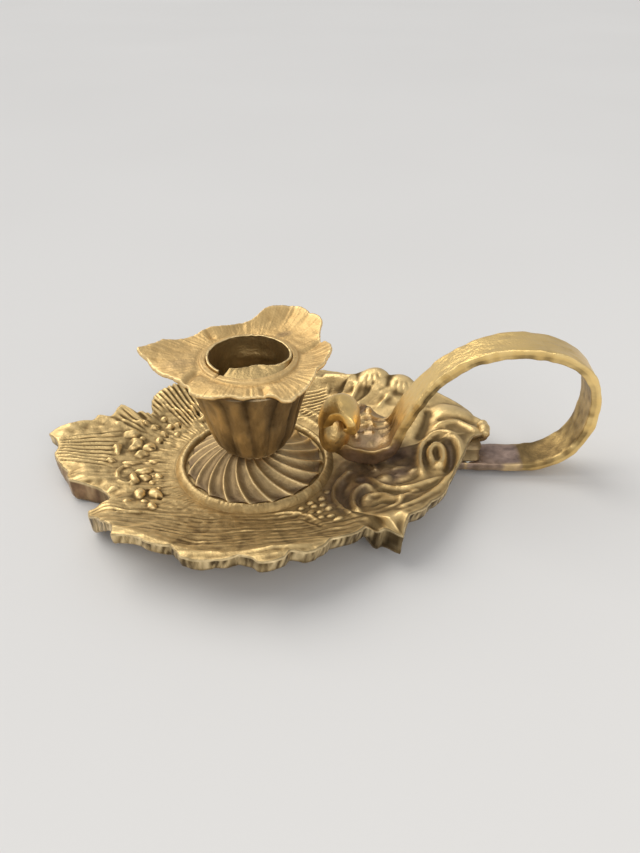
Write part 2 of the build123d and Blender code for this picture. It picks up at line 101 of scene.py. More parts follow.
def stroke(x, y, points, width, height, fade=0.2):
    """A raised line, or with a negative height a sunk one, that fades at its ends."""
    line = smooth_line(points)
    reach = 3 * width
    near = (x > line[:, 0].min() - reach) & (x < line[:, 0].max() + reach)
    near &= (y > line[:, 1].min() - reach) & (y < line[:, 1].max() + reach)
    px, py = x[near], y[near]
    best = np.full(px.shape, 1e9)
    place = np.zeros(px.shape)
    for k in range(len(line) - 1):
        ax, ay = line[k]
        dx, dy = line[k + 1] - line[k]
        t = np.clip(((px - ax) * dx + (py - ay) * dy) / (dx * dx + dy * dy + 1e-9), 0, 1)
        gap = (px - ax - t * dx) ** 2 + (py - ay - t * dy) ** 2
        closer = gap < best
        best[closer] = gap[closer]
        place[closer] = (k + t[closer]) / (len(line) - 1)
    ends = 0.15 + 0.85 * ease(0, fade, place) * ease(0, fade, 1 - place)
    out = np.zeros(x.shape)
    out[near] = height * np.exp(-best / width ** 2) * ends
    return out


def blob(x, y, cx, cy, rx, ry, height, turn=0):
    """A rounded lump with an oval foot."""
    c, s = math.cos(math.radians(turn)), math.sin(math.radians(turn))
    u = ((x - cx) * c + (y - cy) * s) / rx
    v = (-(x - cx) * s + (y - cy) * c) / ry
    return height * np.clip(1 - u * u - v * v, 0, 1) ** 0.75


def soften(field, count):
    """Averages a grid over its neighbours, round the columns and along the rows."""
    for _ in range(count):
        across = (np.roll(field, 1, 1) + field + np.roll(field, -1, 1)) / 3
        padded = np.vstack([across[:1], across, across[-1:]])
        field = (padded[:-2] + padded[1:-1] + padded[2:]) / 3
    return field


def even_out(values, count, middle=1, closed=True):
    """Averages points with their neighbours; an open line keeps its two ends."""
    for _ in range(count):
        mean = (np.roll(values, 1, 0) + middle * values + np.roll(values, -1, 0)) / (middle + 2)
        values = mean if closed else np.concatenate([values[:1], mean[1:-1], values[-1:]])
    return values


def read_off(pairs, at):
    """Values between those given in pairs of place and value."""
    return np.interp(at, *zip(*pairs))


def circle(count):
    """Evenly spaced angles once round."""
    return np.arange(count) * 2 * np.pi / count


class Rings:
    """Rings of points round the candle axis, each with its surface values."""

    def __init__(self, columns):
        self.angle = circle(columns)
        self.degree = np.degrees(self.angle)
        self.rows = []

    def add(self, radius, height, wear_and_glint=0.0, relief=0.0, heat=0.0):
        given = (radius, height, wear_and_glint, relief, heat)
        self.rows.append([np.broadcast_to(np.asarray(v, float), self.angle.shape) for v in given])

    def collect(self):
        """Radius, height, wear, relief and heat, each as rows by columns."""
        return np.array(self.rows).swapaxes(0, 1)

    def points(self, radius, height):
        return np.stack([radius * np.cos(self.angle), radius * np.sin(self.angle), height], -1)


def ring_faces(points, closed):
    """Quads over rows of points whose columns close round; closed joins the last row to the first."""
    rows, columns = points.shape[:2]
    index = np.arange(rows * columns).reshape(rows, columns)
    if closed:
        index = np.vstack([index, index[:1]])
    turned = np.roll(index, -1, 1)
    quads = np.stack([index[:-1], index[1:], turned[1:], turned[:-1]], -1)
    return quads.reshape(-1, 4).tolist()


def capped(rings, flip=False):
    """Faces of stacked rings with both ends closed, turned over where flip says so."""
    rows, columns = rings.shape[:2]
    faces = ring_faces(rings, False)
    faces.append(list(range(columns)))
    faces.append(list(range((rows - 1) * columns, rows * columns))[::-1])
    return [face[::-1] for face in faces] if flip else faces


def make_piece(name, points, faces, surface, body, node, material):
    """A smooth-shaded mesh over rows of points; surface gives its relief, its rubbed edges and painted glints, and its
    heat patina.
    """
    mesh = bpy.data.meshes.new(name)
    mesh.from_pydata((points.reshape(-1, 3) * MM).tolist(), [], faces)
    mesh.update()
    for key, values in zip(("relief", "wear_and_glint", "patina"), surface):
        layer = mesh.attributes.new(key, "FLOAT", "POINT")
        values = np.broadcast_to(np.asarray(values, np.float32), points.shape[:2])
        layer.data.foreach_set("value", values.ravel())
    mesh.polygons.foreach_set("use_smooth", [True] * len(mesh.polygons))
    mesh.materials.append(material)
    piece = bpy.data.objects.new(name, mesh)
    bpy.context.scene.collection.objects.link(piece)
    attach(piece, body)
    if node:
        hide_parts(node)
    return piece


def ring_piece(name, rings, body, node, material):
    """A closed piece from rings that run up its outside and back down inside."""
    radius, height, wear_and_glint, relief, heat = rings.collect()[:, ::-1]
    points = rings.points(radius, height)
    make_piece(name, points, ring_faces(points, True), (relief, wear_and_glint, heat), body, node, material)


def rim_radius(node, bearings, start, step=0.5, halvings=7):
    """How far a solid reaches at each bearing, seen from above, from a search that comes inwards."""
    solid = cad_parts[node].data
    tree = BVHTree.FromPolygons([v.co.copy() for v in solid.vertices], [p.vertices[:] for p in solid.polygons])
    above = 100

    def over_solid(radius, angle):
        place = Vector((radius * math.cos(angle), radius * math.sin(angle), above)) * MM
        return tree.ray_cast(place, Vector((0, 0, -1)))[0] is not None

    radii = []
    for angle in bearings:
        low = start
        while low > 0 and not over_solid(low, angle):
            low -= step
        high = low + step
        for _ in range(halvings):
            middle = (low + high) / 2
            if over_solid(middle, angle):
                low = middle
            else:
                high = middle
        radii.append(low)
    return even_out(np.array(radii), 1, middle=2)


def times(colour, factor):
    return tuple(factor * c for c in colour)


def shade(name, dark, mid, light, heat, bright, rough, metal, scratch=(1, 1, 1), carved=True):
    """Aged brass: recesses darker than ridges, partly dark patina and partly painted shade, brown heat patina, rubbed
    bright edges and painted glints.
    """
    material = bpy.data.materials.new(name)
    material.use_nodes = True
    tree = material.node_tree
    shader = tree.nodes["Principled BSDF"]
    place = tree.nodes.new("ShaderNodeTexCoord").outputs["Object"]

    def feed(socket, given):
        """Links an output to a socket, or sets the socket to a constant."""
        if isinstance(given, bpy.types.NodeSocket):
            tree.links.new(given, socket)
        else:
            socket.default_value = given

    def value(key):
        found = tree.nodes.new("ShaderNodeAttribute")
        found.attribute_name = key
        return found.outputs["Fac"]

    def grain(scale, detail, stretch=(1, 1, 1)):
        moved = tree.nodes.new("ShaderNodeMapping")
        feed(moved.inputs["Scale"], stretch)
        feed(moved.inputs["Vector"], place)
        made = tree.nodes.new("ShaderNodeTexNoise")
        feed(made.inputs["Scale"], scale)
        feed(made.inputs["Detail"], detail)
        feed(made.inputs["Vector"], moved.outputs["Vector"])
        return made.outputs["Fac"]

    def calculated(operation, *given):
        node = tree.nodes.new("ShaderNodeMath")
        node.operation = operation
        for socket, part in zip(node.inputs, given):
            feed(socket, part)
        return node.outputs[0]

    def sum_of(a, b, factor):
        return calculated("MULTIPLY_ADD", b, factor, a)

    def ramp(source, stops):
        node = tree.nodes.new("ShaderNodeValToRGB")
        feed(node.inputs["Fac"], source)
        while len(node.color_ramp.elements) < len(stops):
            node.color_ramp.elements.new(0.5)
        for element, (at, colour) in zip(node.color_ramp.elements, stops):
            element.position = at
            element.color = (*colour, 1)
        return node.outputs["Color"]

    def mixed(factor, a, b):
        node = tree.nodes.new("ShaderNodeMix")
        node.data_type = "RGBA"
        feed(node.inputs["Factor"], factor)
        feed(node.inputs["A"], a)
        feed(node.inputs["B"], (*b, 1) if isinstance(b, tuple) else b)
        return node.outputs["Result"]

    cloud = grain(55, 3)
    mottle = grain(330, 4)
    pits = grain(1500, 5)
    marks = grain(420, 3, scratch)
    level = value("relief") if carved else grain(160, 2)
    relief = sum_of(sum_of(level, mottle, 0.3), marks, 0.16)
    # Low relief values take the dark colours: dark patina in the hollows, and painted shade there as well.
    colour = ramp(relief, [(0.28, times(dark, 0.5)), (0.48, dark), (0.72, mid), (0.98, light)])
    dull = ramp(cloud, [(0.4, (0, 0, 0)), (0.68, (0.42, 0.42, 0.42))])
    colour = mixed(dull, colour, times(mid, 0.62))
    if carved:
        warm = ramp(mottle, [(0.3, times(heat, 0.55)), (0.7, times(heat, 1.35))])
        colour = mixed(value("patina"), colour, warm)
        streak = ramp(marks, [(0.32, (0.45, 0.45, 0.45)), (0.62, (1, 1, 1))])
        colour = mixed(calculated("MULTIPLY", value("wear_and_glint"), streak), colour, bright)
    feed(shader.inputs["Base Color"], colour)
    gloss = tree.nodes.new("ShaderNodeMapRange")
    feed(gloss.inputs["Value"], sum_of(relief, pits, 0.3))
    for key, given in (("From Min", 0.4), ("From Max", 1.2), ("To Min", rough + 0.14), ("To Max", rough - 0.08)):
        feed(gloss.inputs[key], given)
    feed(shader.inputs["Roughness"], gloss.outputs["Result"])
    feed(shader.inputs["Metallic"], metal)
    bump = tree.nodes.new("ShaderNodeBump")
    feed(bump.inputs["Strength"], 0.55)
    feed(bump.inputs["Distance"], 0.00025)
    feed(bump.inputs["Height"], sum_of(sum_of(pits, mottle, 0.8), marks, 0.8))
    feed(shader.inputs["Normal"], bump.outputs["Normal"])
    return material


# Each metal: dark, middle, light and heated colours, the bright colour of rubbed edges and painted glints, roughness,
# metal share and any stretch of the scratches
LEAF = shade("leaf_brass", (0.24, 0.155, 0.062), (0.62, 0.445, 0.2), (0.96, 0.7, 0.32),
             (0.2, 0.142, 0.106), (0.98, 0.75, 0.37), 0.5, 0.93)
# The rim metal is darker than the leaf metal: painted shade on the rounded edge and filed band, which face down and
# outwards.
RIM_SHADED = shade("rim_brass_shaded", (0.11, 0.07, 0.028), (0.36, 0.245, 0.1), (0.72, 0.53, 0.26),
            (0.34, 0.205, 0.125), (0.95, 0.75, 0.42), 0.4, 0.95, (1, 1, 0.05))
PAN = shade("pan_brass", (0.25, 0.162, 0.06), (0.6, 0.402, 0.165), (0.84, 0.59, 0.26),
            (0.2, 0.135, 0.09), (0.96, 0.73, 0.38), 0.54, 0.93)
CUP = shade("cup_brass_aged", (0.13, 0.092, 0.048), (0.33, 0.245, 0.14), (0.6, 0.45, 0.25),
            (0.14, 0.085, 0.048), (0.76, 0.56, 0.29), 0.46, 0.93, (1, 1, 0.2))
SWIRL = shade("swirl_brass", (0.28, 0.195, 0.098), (0.55, 0.39, 0.185), (0.92, 0.67, 0.32),
              (0.22, 0.15, 0.092), (0.98, 0.75, 0.39), 0.46, 0.93)
STRAP = shade("strap_brass_aged", (0.24, 0.155, 0.058), (0.64, 0.435, 0.165), (0.95, 0.65, 0.235),
              (0.38, 0.272, 0.218), (0.98, 0.72, 0.31), 0.38, 0.95, (0.25, 1, 1))
SHEET = shade("sheet_brass_aged", (0.24, 0.18, 0.08), (0.56, 0.395, 0.17), (0.84, 0.6, 0.27),
              (0.15, 0.1, 0.06), (0.92, 0.69, 0.34), 0.42, 0.95, (1, 1, 0.15))
BRAZE = shade("braze_metal", (0.09, 0.046, 0.03), (0.2, 0.105, 0.068), (0.46, 0.26, 0.17),
              (0.14, 0.075, 0.05), (0.66, 0.41, 0.27), 0.48, 0.85)
SOLDER = shade("solder_metal", (0.26, 0.25, 0.2), (0.52, 0.51, 0.44), (0.8, 0.79, 0.73),
               (0.24, 0.18, 0.12), (0.88, 0.87, 0.82), 0.45, 0.85)
SCREW = shade("screw_brass_dull", (0.24, 0.165, 0.07), (0.52, 0.375, 0.172), (0.8, 0.6, 0.3),
              (0.14, 0.09, 0.05), (0.92, 0.72, 0.4), 0.4, 0.95, carved=False)

# Tray: one closed sheet over top, rim, underside and foot ring
tray = Rings(1080)
bearing, degree = tray.angle, tray.degree
rim = rim_radius("tray", bearing, start=75)


def dish(x, y):
    """Top of the plain dish, which is steeper and shorter at its sides than at its two ends."""
    r, b = np.hypot(x, y), np.arctan2(y, x)
    end_rise, end_reach = 6.3, 56.0
    side_rise = np.where(y > 0, 9.6, 11.0)
    side_reach = np.where(y > 0, 36.0, 48.0)
    ends = np.cos(b) ** 4
    rise = side_rise + (end_rise - side_rise) * ends
    reach = side_reach + (end_reach - side_reach) * ends
    out = np.clip((r - BEAD_OUTER) / (reach - BEAD_OUTER), 0, 1)
    return FLOOR_TOP + rise * out ** 1.35 + 0.7 * np.cos(9 * b) * out ** 2


def droop(r, edge, deg):
    """The rim's teeth bend down at the left and at the front right spike, and up at two places behind."""
    outer = ease(edge - 7, edge, r)
    fall = 1.6 * ease(28, 10, turn_gap(deg, 202)) + 3.4 * ease(6, 1, turn_gap(deg, 313.5))
    fall = fall + 1.2 * ease(7, 2, turn_gap(deg, 214)) + 0.8 * ease(5, 1, turn_gap(deg, 190))
    lift = 1.6 * ease(6, 2, turn_gap(deg, 155)) + 0.8 * ease(9, 3, turn_gap(deg, 41))
    return (lift - fall) * outer ** 1.5


def ribs(x, y, cx, cy, first, last, inner, outer, count, height):
    """Ridges that fan out from a point between two bearings and two distances."""
    r = np.hypot(x - cx, y - cy)
    b = np.degrees(np.arctan2(y - cy, x - cx)) % 360
    place = (b - first) / (last - first)
    inside = ease(-0.04, 0.06, place) * ease(1.04, 0.94, place)
    inside = inside * ease(inner, inner + 2.5, r) * ease(outer, outer - 2.0, r)
    wave = np.abs(np.sin(np.pi * count * place)) ** 0.8 - 0.62
    return height * wave * inside


# Chased lines of the tray: points, half width and height, sunk where the height is negative
CHASED = [
    ([(-36.2, -11), (-37, -8), (-36.2, -5.4), (-34.2, -4.2)], 0.45, 0.75),
    ([(-36.2, -12), (-34.3, -12.9), (-31.9, -12.6)], 0.45, 0.55),
    ([(-42, 12.6), (-38, 14.4), (-33.5, 13.6)], 0.7, 0.5),
    ([(-26.6, 21.6), (-24.6, 21.4), (-22.6, 19.6)], 0.6, 0.7),
    ([(-21.6, 24.2), (-18.6, 23.4), (-16.6, 20.8), (-18.4, 19.4)], 0.7, 0.8),
    ([(-33, -28.6), (-30, -27.8), (-26.6, -26.6)], 0.5, 0.5),
    ([(19, 33.2), (22.5, 32.2), (26.5, 31.4), (30.4, 31.2)], 1.5, 1.2),
    ([(20.5, 28.6), (25, 27.6), (29.5, 27.4)], 1.2, -0.9),
    ([(27.9, 23.6), (28.8, 25.6), (30.3, 29)], 0.5, 1),
    ([(36.2, 20.2), (37.6, 22.4), (39.6, 24.8)], 0.5, 1),
    ([(28.2, -4.6), (25.8, -5.9), (22.8, -10.8), (22.1, -16.3), (23.2, -21.4), (25.2, -26.5), (27.6, -31.2)],
     0.6, 1),
    ([(26, -8.6), (24.6, -12), (24.3, -16.5), (25.1, -21.5), (26.4, -26)], 1.2, -0.9),
    ([(28.6, -29.6), (27.2, -25), (26.9, -20.6), (27.8, -16.2), (30.2, -13.7), (33.2, -15.2)], 0.8, 1.5),
    ([(28.9, -25.6), (28.6, -20.4), (30.2, -16.6), (33, -17.4)], 0.6, -0.8),
    ([(30.2, -22.4), (31.2, -19.6), (34.4, -19.9), (37.2, -23.4), (40.4, -24.2)], 1.5, 1.3),
    ([(31.5, -26.2), (34, -23.8), (37.2, -26.6)], 0.7, -0.7),
    ([(31.6, -1.6), (32.6, -3.6), (34.2, -6.8)], 0.5, 0.9),
    ([(31.5, -8.5), (33.4, -12), (36.6, -15.6), (41, -17.8), (46.6, -15.9), (51, -14.4)], 0.75, 1.2),
    ([(33.2, -14.8), (37.2, -18.2), (42, -20.3), (47.4, -18.2), (52, -14.6)], 0.8, -0.9),
    ([(34, -29.2), (37.7, -27.8), (39.6, -23.4), (42, -20.4), (45.4, -19)], 0.7, 1),
    ([(37, -30.6), (41.4, -28.4), (45.6, -24.4), (50, -18.8), (52.6, -14.4)], 0.9, 1.2),
    ([(39.8, -30.2), (44.6, -26.8), (48.2, -22.2)], 0.6, -0.7),
    ([(36.4, -2.2), (40.4, -4.6), (43.8, -5.2)], 1.2, -0.5),
    ([(38.5, -13.8), (42, -13.2), (45, -11.2)], 0.8, -0.7),
    ([(2, -22.8), (7, -22.7), (11, -22.9), (14.8, -25), (18.4, -29.6)], 0.55, 0.75),
    ([(13.2, -26.4), (17, -30.6), (19, -34)], 0.6, -0.4),
    ([(45.9, -13.6), (46, -8.6), (47, -0.6), (49.4, 4.6), (52.4, 6), (55.6, 4.2), (57.2, -1.7),
      (56.2, -8.6), (53.6, -14.4), (50, -18)], 0.9, 1.5),
    ([(54.2, 2.6), (54.9, -2), (54.2, -8), (52.2, -12.8)], 1.2, -2.1),
    ([(47.4, -9.4), (47.3, -4.6), (48, 0.2), (50.2, 2.8), (52.6, 2.9)], 0.8, -1.7),
    ([(48.6, -6.6), (48.7, -2.4), (50.6, 0.1), (52.4, -1.6), (52.5, -6.4), (51, -9), (49.2, -8.2)], 0.75, 1.5),
    ([(50.4, -2.2), (50.5, -4.6), (50.8, -6.8)], 0.55, -1.3),
    ([(46.4, 4.6), (48.4, 9.2), (50, 14), (50.8, 18.6)], 1.5, -1.3),
    ([(50.6, 8.6), (54.4, 9.9), (58.4, 10.2), (61, 8), (63.4, 4.2)], 0.9, 1.4),
    ([(52, 12.6), (56.6, 13), (60.8, 11.8), (63.4, 8.8)], 0.8, -0.9),
    ([(11, 22.6), (15.5, 19.6), (18.6, 16.6)], 0.8, 0.5),
    ([(13, 24.4), (17.6, 21), (20.6, 18)], 0.7, 0.6),
]

# Raised lumps, petals and buds, then sunk pits: place, half sizes, height and any turn
LUMPS = [
    (-34.9, 6.2, 2.5, 2.3, 1.6, 20), (-30.8, 5.5, 1.9, 1.8, 1.2), (-32.7, 2.1, 2, 1.4, 1.2, 10),
    (-36.5, 9.9, 2.4, 1.3, 1.1, 30), (-39.2, 3.3, 1.35, 2.6, 1.3, 8), (-33.4, 8.8, 1.3, 1, 0.8),
    (-32.2, -10.4, 1.4, 2.7, 1.4, 5), (-30, -5.8, 2.3, 1.3, 1.2, 20), (-29.4, -9.2, 1.6, 1.5, 1.2),
    (-26.2, -7.6, 1, 0.9, 0.8), (-27, -10.6, 0.9, 0.8, 0.7), (-29.4, -17.2, 1.4, 2.5, 1.4, 12),
    (-25.4, -16.3, 2.5, 1.9, 1.6, -50), (-24.9, -22.6, 1.3, 1.7, 1.1, 10), (-27.4, -20.4, 1, 0.8, 0.6),
    (-39.7, -2.6, 1.3, 0.9, 0.9), (-34.4, -2.5, 2.5, 1.1, 0.9, 8), (-28.4, -0.6, 1.5, 0.8, 0.8, 15),
    (-30.2, 14.6, 1.25, 1.2, 1), (-28.4, 17.6, 1.1, 1, 0.9), (-26.6, 15, 1.2, 1.1, 1),
    (-24, 16.7, 1.05, 1, 0.9), (-27.6, 12, 1.15, 1, 0.9), (-28.7, 9, 1.1, 1.1, 0.9),
    (-34.2, 15.2, 2.1, 1, 0.8, 25), (-36.6, -15.6, 1.6, 0.8, 0.5, 20), (-20.2, 22.4, 1.6, 1.3, 0.9),
    (-25, -12.9, 0.8, 0.7, 0.6), (-31.6, -21.6, 1.2, 0.7, 0.5, 30), (-23.6, 12.6, 0.9, 0.8, 0.6),
    (36, -11, 2.5, 2.1, 1.3, -20), (43.6, -9.2, 1.4, 1, 0.9, 10), (39.6, -9.6, 1.4, 0.8, 0.5, 20),
    (40, -6.4, 2, 0.8, 0.5, 15), (57.4, 15.4, 6.4, 4.6, 1.5, -28), (50.6, -4.6, 4.2, 8.4, 0.5, 6),
    (15.9, -18.4, 1.05, 1, 0.9), (19, -16.8, 1.05, 1, 0.9), (16.9, -20.6, 1, 1, 0.8),
    (19.2, -20.4, 1, 1, 0.8), (16.2, -24, 1.1, 1, 0.8), (13.6, -20.9, 0.9, 0.9, 0.7),
    (20.8, -23.4, 1.1, 1, 0.9), (21.2, -27.4, 1.2, 1, 0.8), (18.3, -24.6, 0.9, 0.9, 0.8),
    (20.4, -13.6, 1, 1, 0.7), (23, -30.5, 1.4, 0.9, 0.8, 20), (18.8, -27.4, 1, 0.9, 0.7),
]
PITS = [
    (-30, 5.2, 0.75, 0.65, 1.1), (-33.2, 4.4, 0.8, 0.6, 0.8), (-28.6, -8, 0.7, 0.6, 1),
    (-24, -18.2, 1, 0.8, 0.8, -50), (-27.6, -15, 0.9, 0.8, 0.6), (-29.3, 14.2, 0.5, 0.5, 0.7),
    (-25.8, 14.5, 0.5, 0.5, 0.7), (-27.9, 8.4, 0.5, 0.5, 0.7), (-26.8, 11.5, 0.5, 0.5, 0.7),
    (-23.3, 16.1, 0.5, 0.5, 0.6), (-18.8, 21.8, 0.9, 0.7, 0.5), (-36.6, 5.6, 0.8, 1.6, 0.6, 10),
    (33.9, 25, 6, 3.4, 0.9, -6), (42.4, 23.2, 6, 3.2, 0.9, -8), (30.2, -10.6, 2.6, 1.6, 0.6, -40),
    (39, -1, 4, 2.2, 0.5, -20),
]


def scallop(x, y, cx, cy, rx, ry, turn, height, grooves):
    """A shell lobe of the rim: a dome with grooves that fan out towards the viewer."""
    dome = blob(x, y, cx, cy, rx, ry, height, turn)
    for lean in grooves:
        top = (cx + 0.45 * rx * lean, cy + 0.1 * ry)
        foot = (cx + 0.85 * rx * lean, cy - 0.95 * ry)
        middle = ((top[0] + foot[0]) / 2 + 0.1 * rx * lean, (top[1] + foot[1]) / 2)
        dome += stroke(x, y, [top, middle, foot], 0.5, -0.9, 0.3)
    return dome


def leaf_relief(x, y, out):
    """The cast and chased ornament of the tray, in millimetres above the plain dish."""
    r, b = np.hypot(x, y), np.degrees(np.arctan2(y, x)) % 360
    left = ease(-2, -18, x) * ease(-26, -16, y)
    front = ease(-17, -25, y) * ease(42, 26, x)
    h = 0.17 * noise(b * 0.85, r / 3.4, 1.0, 3) * left * ease(36, 27, r)
    h += 0.1 * noise(x / 3.5, (y - 0.2 * x) / 0.8, 1.0, 4) * left
    sway = 1.4 * noise(x, y, 12, 5) + 0.5 * noise(x, y, 5, 6)
    h += 0.24 * noise(x / 9, (y - 0.1 * x + sway) / 0.9, 1.0, 7) * front
    h += 0.55 * np.clip(noise(x / 11, (y - 0.08 * x + sway) / 1.4, 1.0, 8) - 0.42, 0, 1) * front
    h = h + 0.13 * noise(x, y, 1.5, 9) + 0.3 * noise(x, y, 6.0, 10)
    # Ribs of the left tip, which draw together towards it, and of the back rim
    rib = (y - 1.4 - 0.16 * (x + 45)) / (1 + 0.045 * (x + 51)) + 0.25 * noise(x, y, 6, 12)
    comb = np.abs(np.sin(np.pi * rib / 1.35)) ** 0.8 - 0.62
    h += 0.95 * comb * ease(-57, -52, x) * ease(-38.5, -42, x) * ease(6.2, 5.0, np.abs(rib))
    h += ribs(x, y, 0, 0, 141, 161, 35, 45, 9, 0.85)
    h += ribs(x, y, 4, -4, 126, 141, 32, 47, 8, 0.95)
    comb = np.abs(np.sin(np.pi * (y - 0.05 * x) / 0.95)) - 0.6
    h += 0.5 * comb * ease(10.5, 12.5, x) * ease(22.0, 19.5, x) * ease(20.5, 22, y) * ease(30, 28, y)
    for points, width, height in CHASED:
        h += stroke(x, y, points, width, height, 0.14)
    bent_x = x + 0.55 * noise(x, y, 1.9, 13) * left
    bent_y = y + 0.55 * noise(x, y, 1.9, 14) * left
    for lump in LUMPS:
        h += blob(bent_x, bent_y, *lump)
    for pit in PITS:
        h -= blob(bent_x, bent_y, *pit)
    h += scallop(x, y, 35.2, 30.6, 5.0, 4.4, -4, 2.3, (-0.62, -0.12, 0.38))
    h += scallop(x, y, 44.0, 28.6, 4.4, 3.9, -12, 2.1, (-0.6, -0.1, 0.4))
    return h * ease(0.0, 0.1, out)


# Floor inside the bead, from the screw hole outwards
for r, z in ((HOLE, 5.9), (5.0, 5.9), (7.7, 5.9), (8.0, 5.6), (8.0, 3.6), (8.3, FLOOR_TOP), (13.0, FLOOR_TOP),
             (17.0, FLOOR_TOP), (18.6, FLOOR_TOP)):
    tray.add(r, z)
BEAD_FIRST, BEAD_STEPS, BEAD_CREST = len(tray.rows), 16, 0.31
bead_noise = 0.16 * ring_noise(degree / 5, 21) + 0.1 * ring_noise(degree / 1.7, 27)
for k in range(BEAD_STEPS + 1):
    a = np.pi * k / BEAD_STEPS
    beat = bead_noise * np.sin(a)
    t = 0.5 - 0.5 * math.cos(a)
    if t < BEAD_CREST:
        crest = math.sin(math.pi / 2 * t / BEAD_CREST) ** 0.6
    else:
        crest = math.cos(math.pi / 2 * (t - BEAD_CREST) / (1 - BEAD_CREST)) ** 0.9
    tray.add(BEAD_INNER + BEAD_WIDTH * t + 0.1 * beat, FLOOR_TOP - 0.15 * math.cos(a) ** 2 + 1.6 * crest + beat,
             0.85 * math.exp(-((t - 0.3) / 0.16) ** 2))

# Carved top, from the bead to the rim
TOP_FIRST, TOP_ROWS = len(tray.rows), 104
share = np.arange(1, TOP_ROWS + 1)[:, None] / TOP_ROWS
share = 0.86 * share + 0.14 * share ** 2
top_r = BEAD_OUTER + (rim - 0.45 - BEAD_OUTER) * share
top_x, top_y = top_r * np.cos(bearing), top_r * np.sin(bearing)
outward = (top_r - BEAD_OUTER) / (rim - BEAD_OUTER)
carving = leaf_relief(top_x, top_y, outward)
calm = 0.8 * ease(22, 32, top_x)
carving = carving * (1 - calm) + soften(carving, 4) * calm
top_z = dish(top_x, top_y) + carving + droop(top_r, rim, degree)
for k in range(TOP_ROWS):
    tray.add(top_r[k], top_z[k], 0.25 * ease(0.95, 1.0, outward[k]))

# Rim: a rounded edge and a filed band, deeper at the front, at the left tip and at the front right spike
RIM_FIRST = len(tray.rows)
edge_z = top_z[-1]
tip_face = ease(15, 9, turn_gap(degree, 191))
wall = 3.0 + 0.9 * ease(80, 40, turn_gap(degree, 265)) + 2.4 * ease(28, 12, turn_gap(degree, 200))
wall = wall - 0.5 * ease(60, 30, turn_gap(degree, 80)) + 0.45 * ring_noise(degree / 4, 22)
wall = wall + 2.6 * ease(5.5, 1.0, turn_gap(degree, 313.8)) + 0.9 * tip_face
bow = 0.25 * ring_noise(degree / 3, 23)
for r_in, z_down, wear_and_glint in ((0.18, 0.1, 0.45), (0.04, 0.3, 0.9)):
    tray.add(rim - r_in, edge_z - z_down, wear_and_glint)
BAND_FIRST, BAND_ROWS = len(tray.rows), 9
for k in range(1, BAND_ROWS + 1):
    t = k / (BAND_ROWS + 1)
    filed = 0.6 * ring_noise(degree * 1.15 + 1.5 * t, 24, 0.8 * t) + 0.4 * ring_noise(degree * 2.4 + 2.0 * t, 26, t)
    tray.add(rim + 0.09 * filed + bow * np.sin(np.pi * t) - 0.5 * t, edge_z - 0.3 - (wall - 0.6) * t,
             np.clip(0.35 + 0.85 * filed, 0, 1) * ease(1.0, 0.65, t) * (1 - 0.75 * tip_face), 0.5 + 0.42 * filed)
BAND_END = len(tray.rows)
tray.add(rim - 0.8, edge_z - wall + 0.1, 0.15)
tray.add(rim - 1.2, edge_z - wall, 0.05)

# Underside, in to the foot ring and back to the screw hole
UNDER_FIRST, UNDER_ROWS = len(tray.rows), 16
RING_OUTER = 28.0
for k in range(1, UNDER_ROWS + 1):
    r = rim - 1.6 + (RING_OUTER - rim + 1.6) * (k / UNDER_ROWS)
    x, y = r * np.cos(bearing), r * np.sin(bearing)
    plain = dish(x, y) + droop(r, rim, degree) - 2.6 + 0.12 * noise(x, y, 3.0, 25)
    lip = ease(rim - 6.0, rim - 1.2, r)
    tray.add(r, np.maximum(plain * (1 - lip) + (edge_z - wall) * lip, 0.4))
for r, z in ((RING_OUTER, 0.4), (27.6, 0.0), (25.4, 0.0), (25.0, 0.4), (25.0, 0.8), (21.6, 0.8), (21.6, 0.5),
             (12.0, 0.5), (5.4, 0.5), (5.1, 0.8), (5.1, 3.0), (HOLE, 3.0)):
    tray.add(r, z)

# What the tray's surface shows: lighter ridges and darker hollows, partly dark patina and partly painted shade,
# painted shade on the right part and on the underside, brown round the leaf end of the handle, rubbed edges
tray_r, tray_z, tray_wear, band_relief, _ = tray.collect()
tray_z = np.maximum(tray_z, 0)
tray_points = tray.points(tray_r, tray_z)
tray_x, tray_y = tray_points[..., 0], tray_points[..., 1]
# Hollows darker and ridges lighter: dark patina in the hollows, and painted shade.
fine = tray_z - soften(tray_z, 9)
wide = tray_z - soften(tray_z, 60)
for field in (fine, wide):
    field[:TOP_FIRST - 2] *= 0.3
    field[RIM_FIRST - 1:] = 0
near_rim = np.zeros(tray_z.shape)
near_rim[TOP_FIRST:RIM_FIRST] = ease(0.97, 0.88, outward)
relief = np.clip(0.5 + 1.45 * fine + 0.22 * np.clip(wide, -1.2, 1.2) * near_rim, 0, 1)
relief[BEAD_FIRST:TOP_FIRST] = 0.42
relief[BAND_FIRST:BAND_END] = band_relief[BAND_FIRST:BAND_END]
# The underside takes a low value: painted shade under the tray.
relief[UNDER_FIRST:] = 0.28
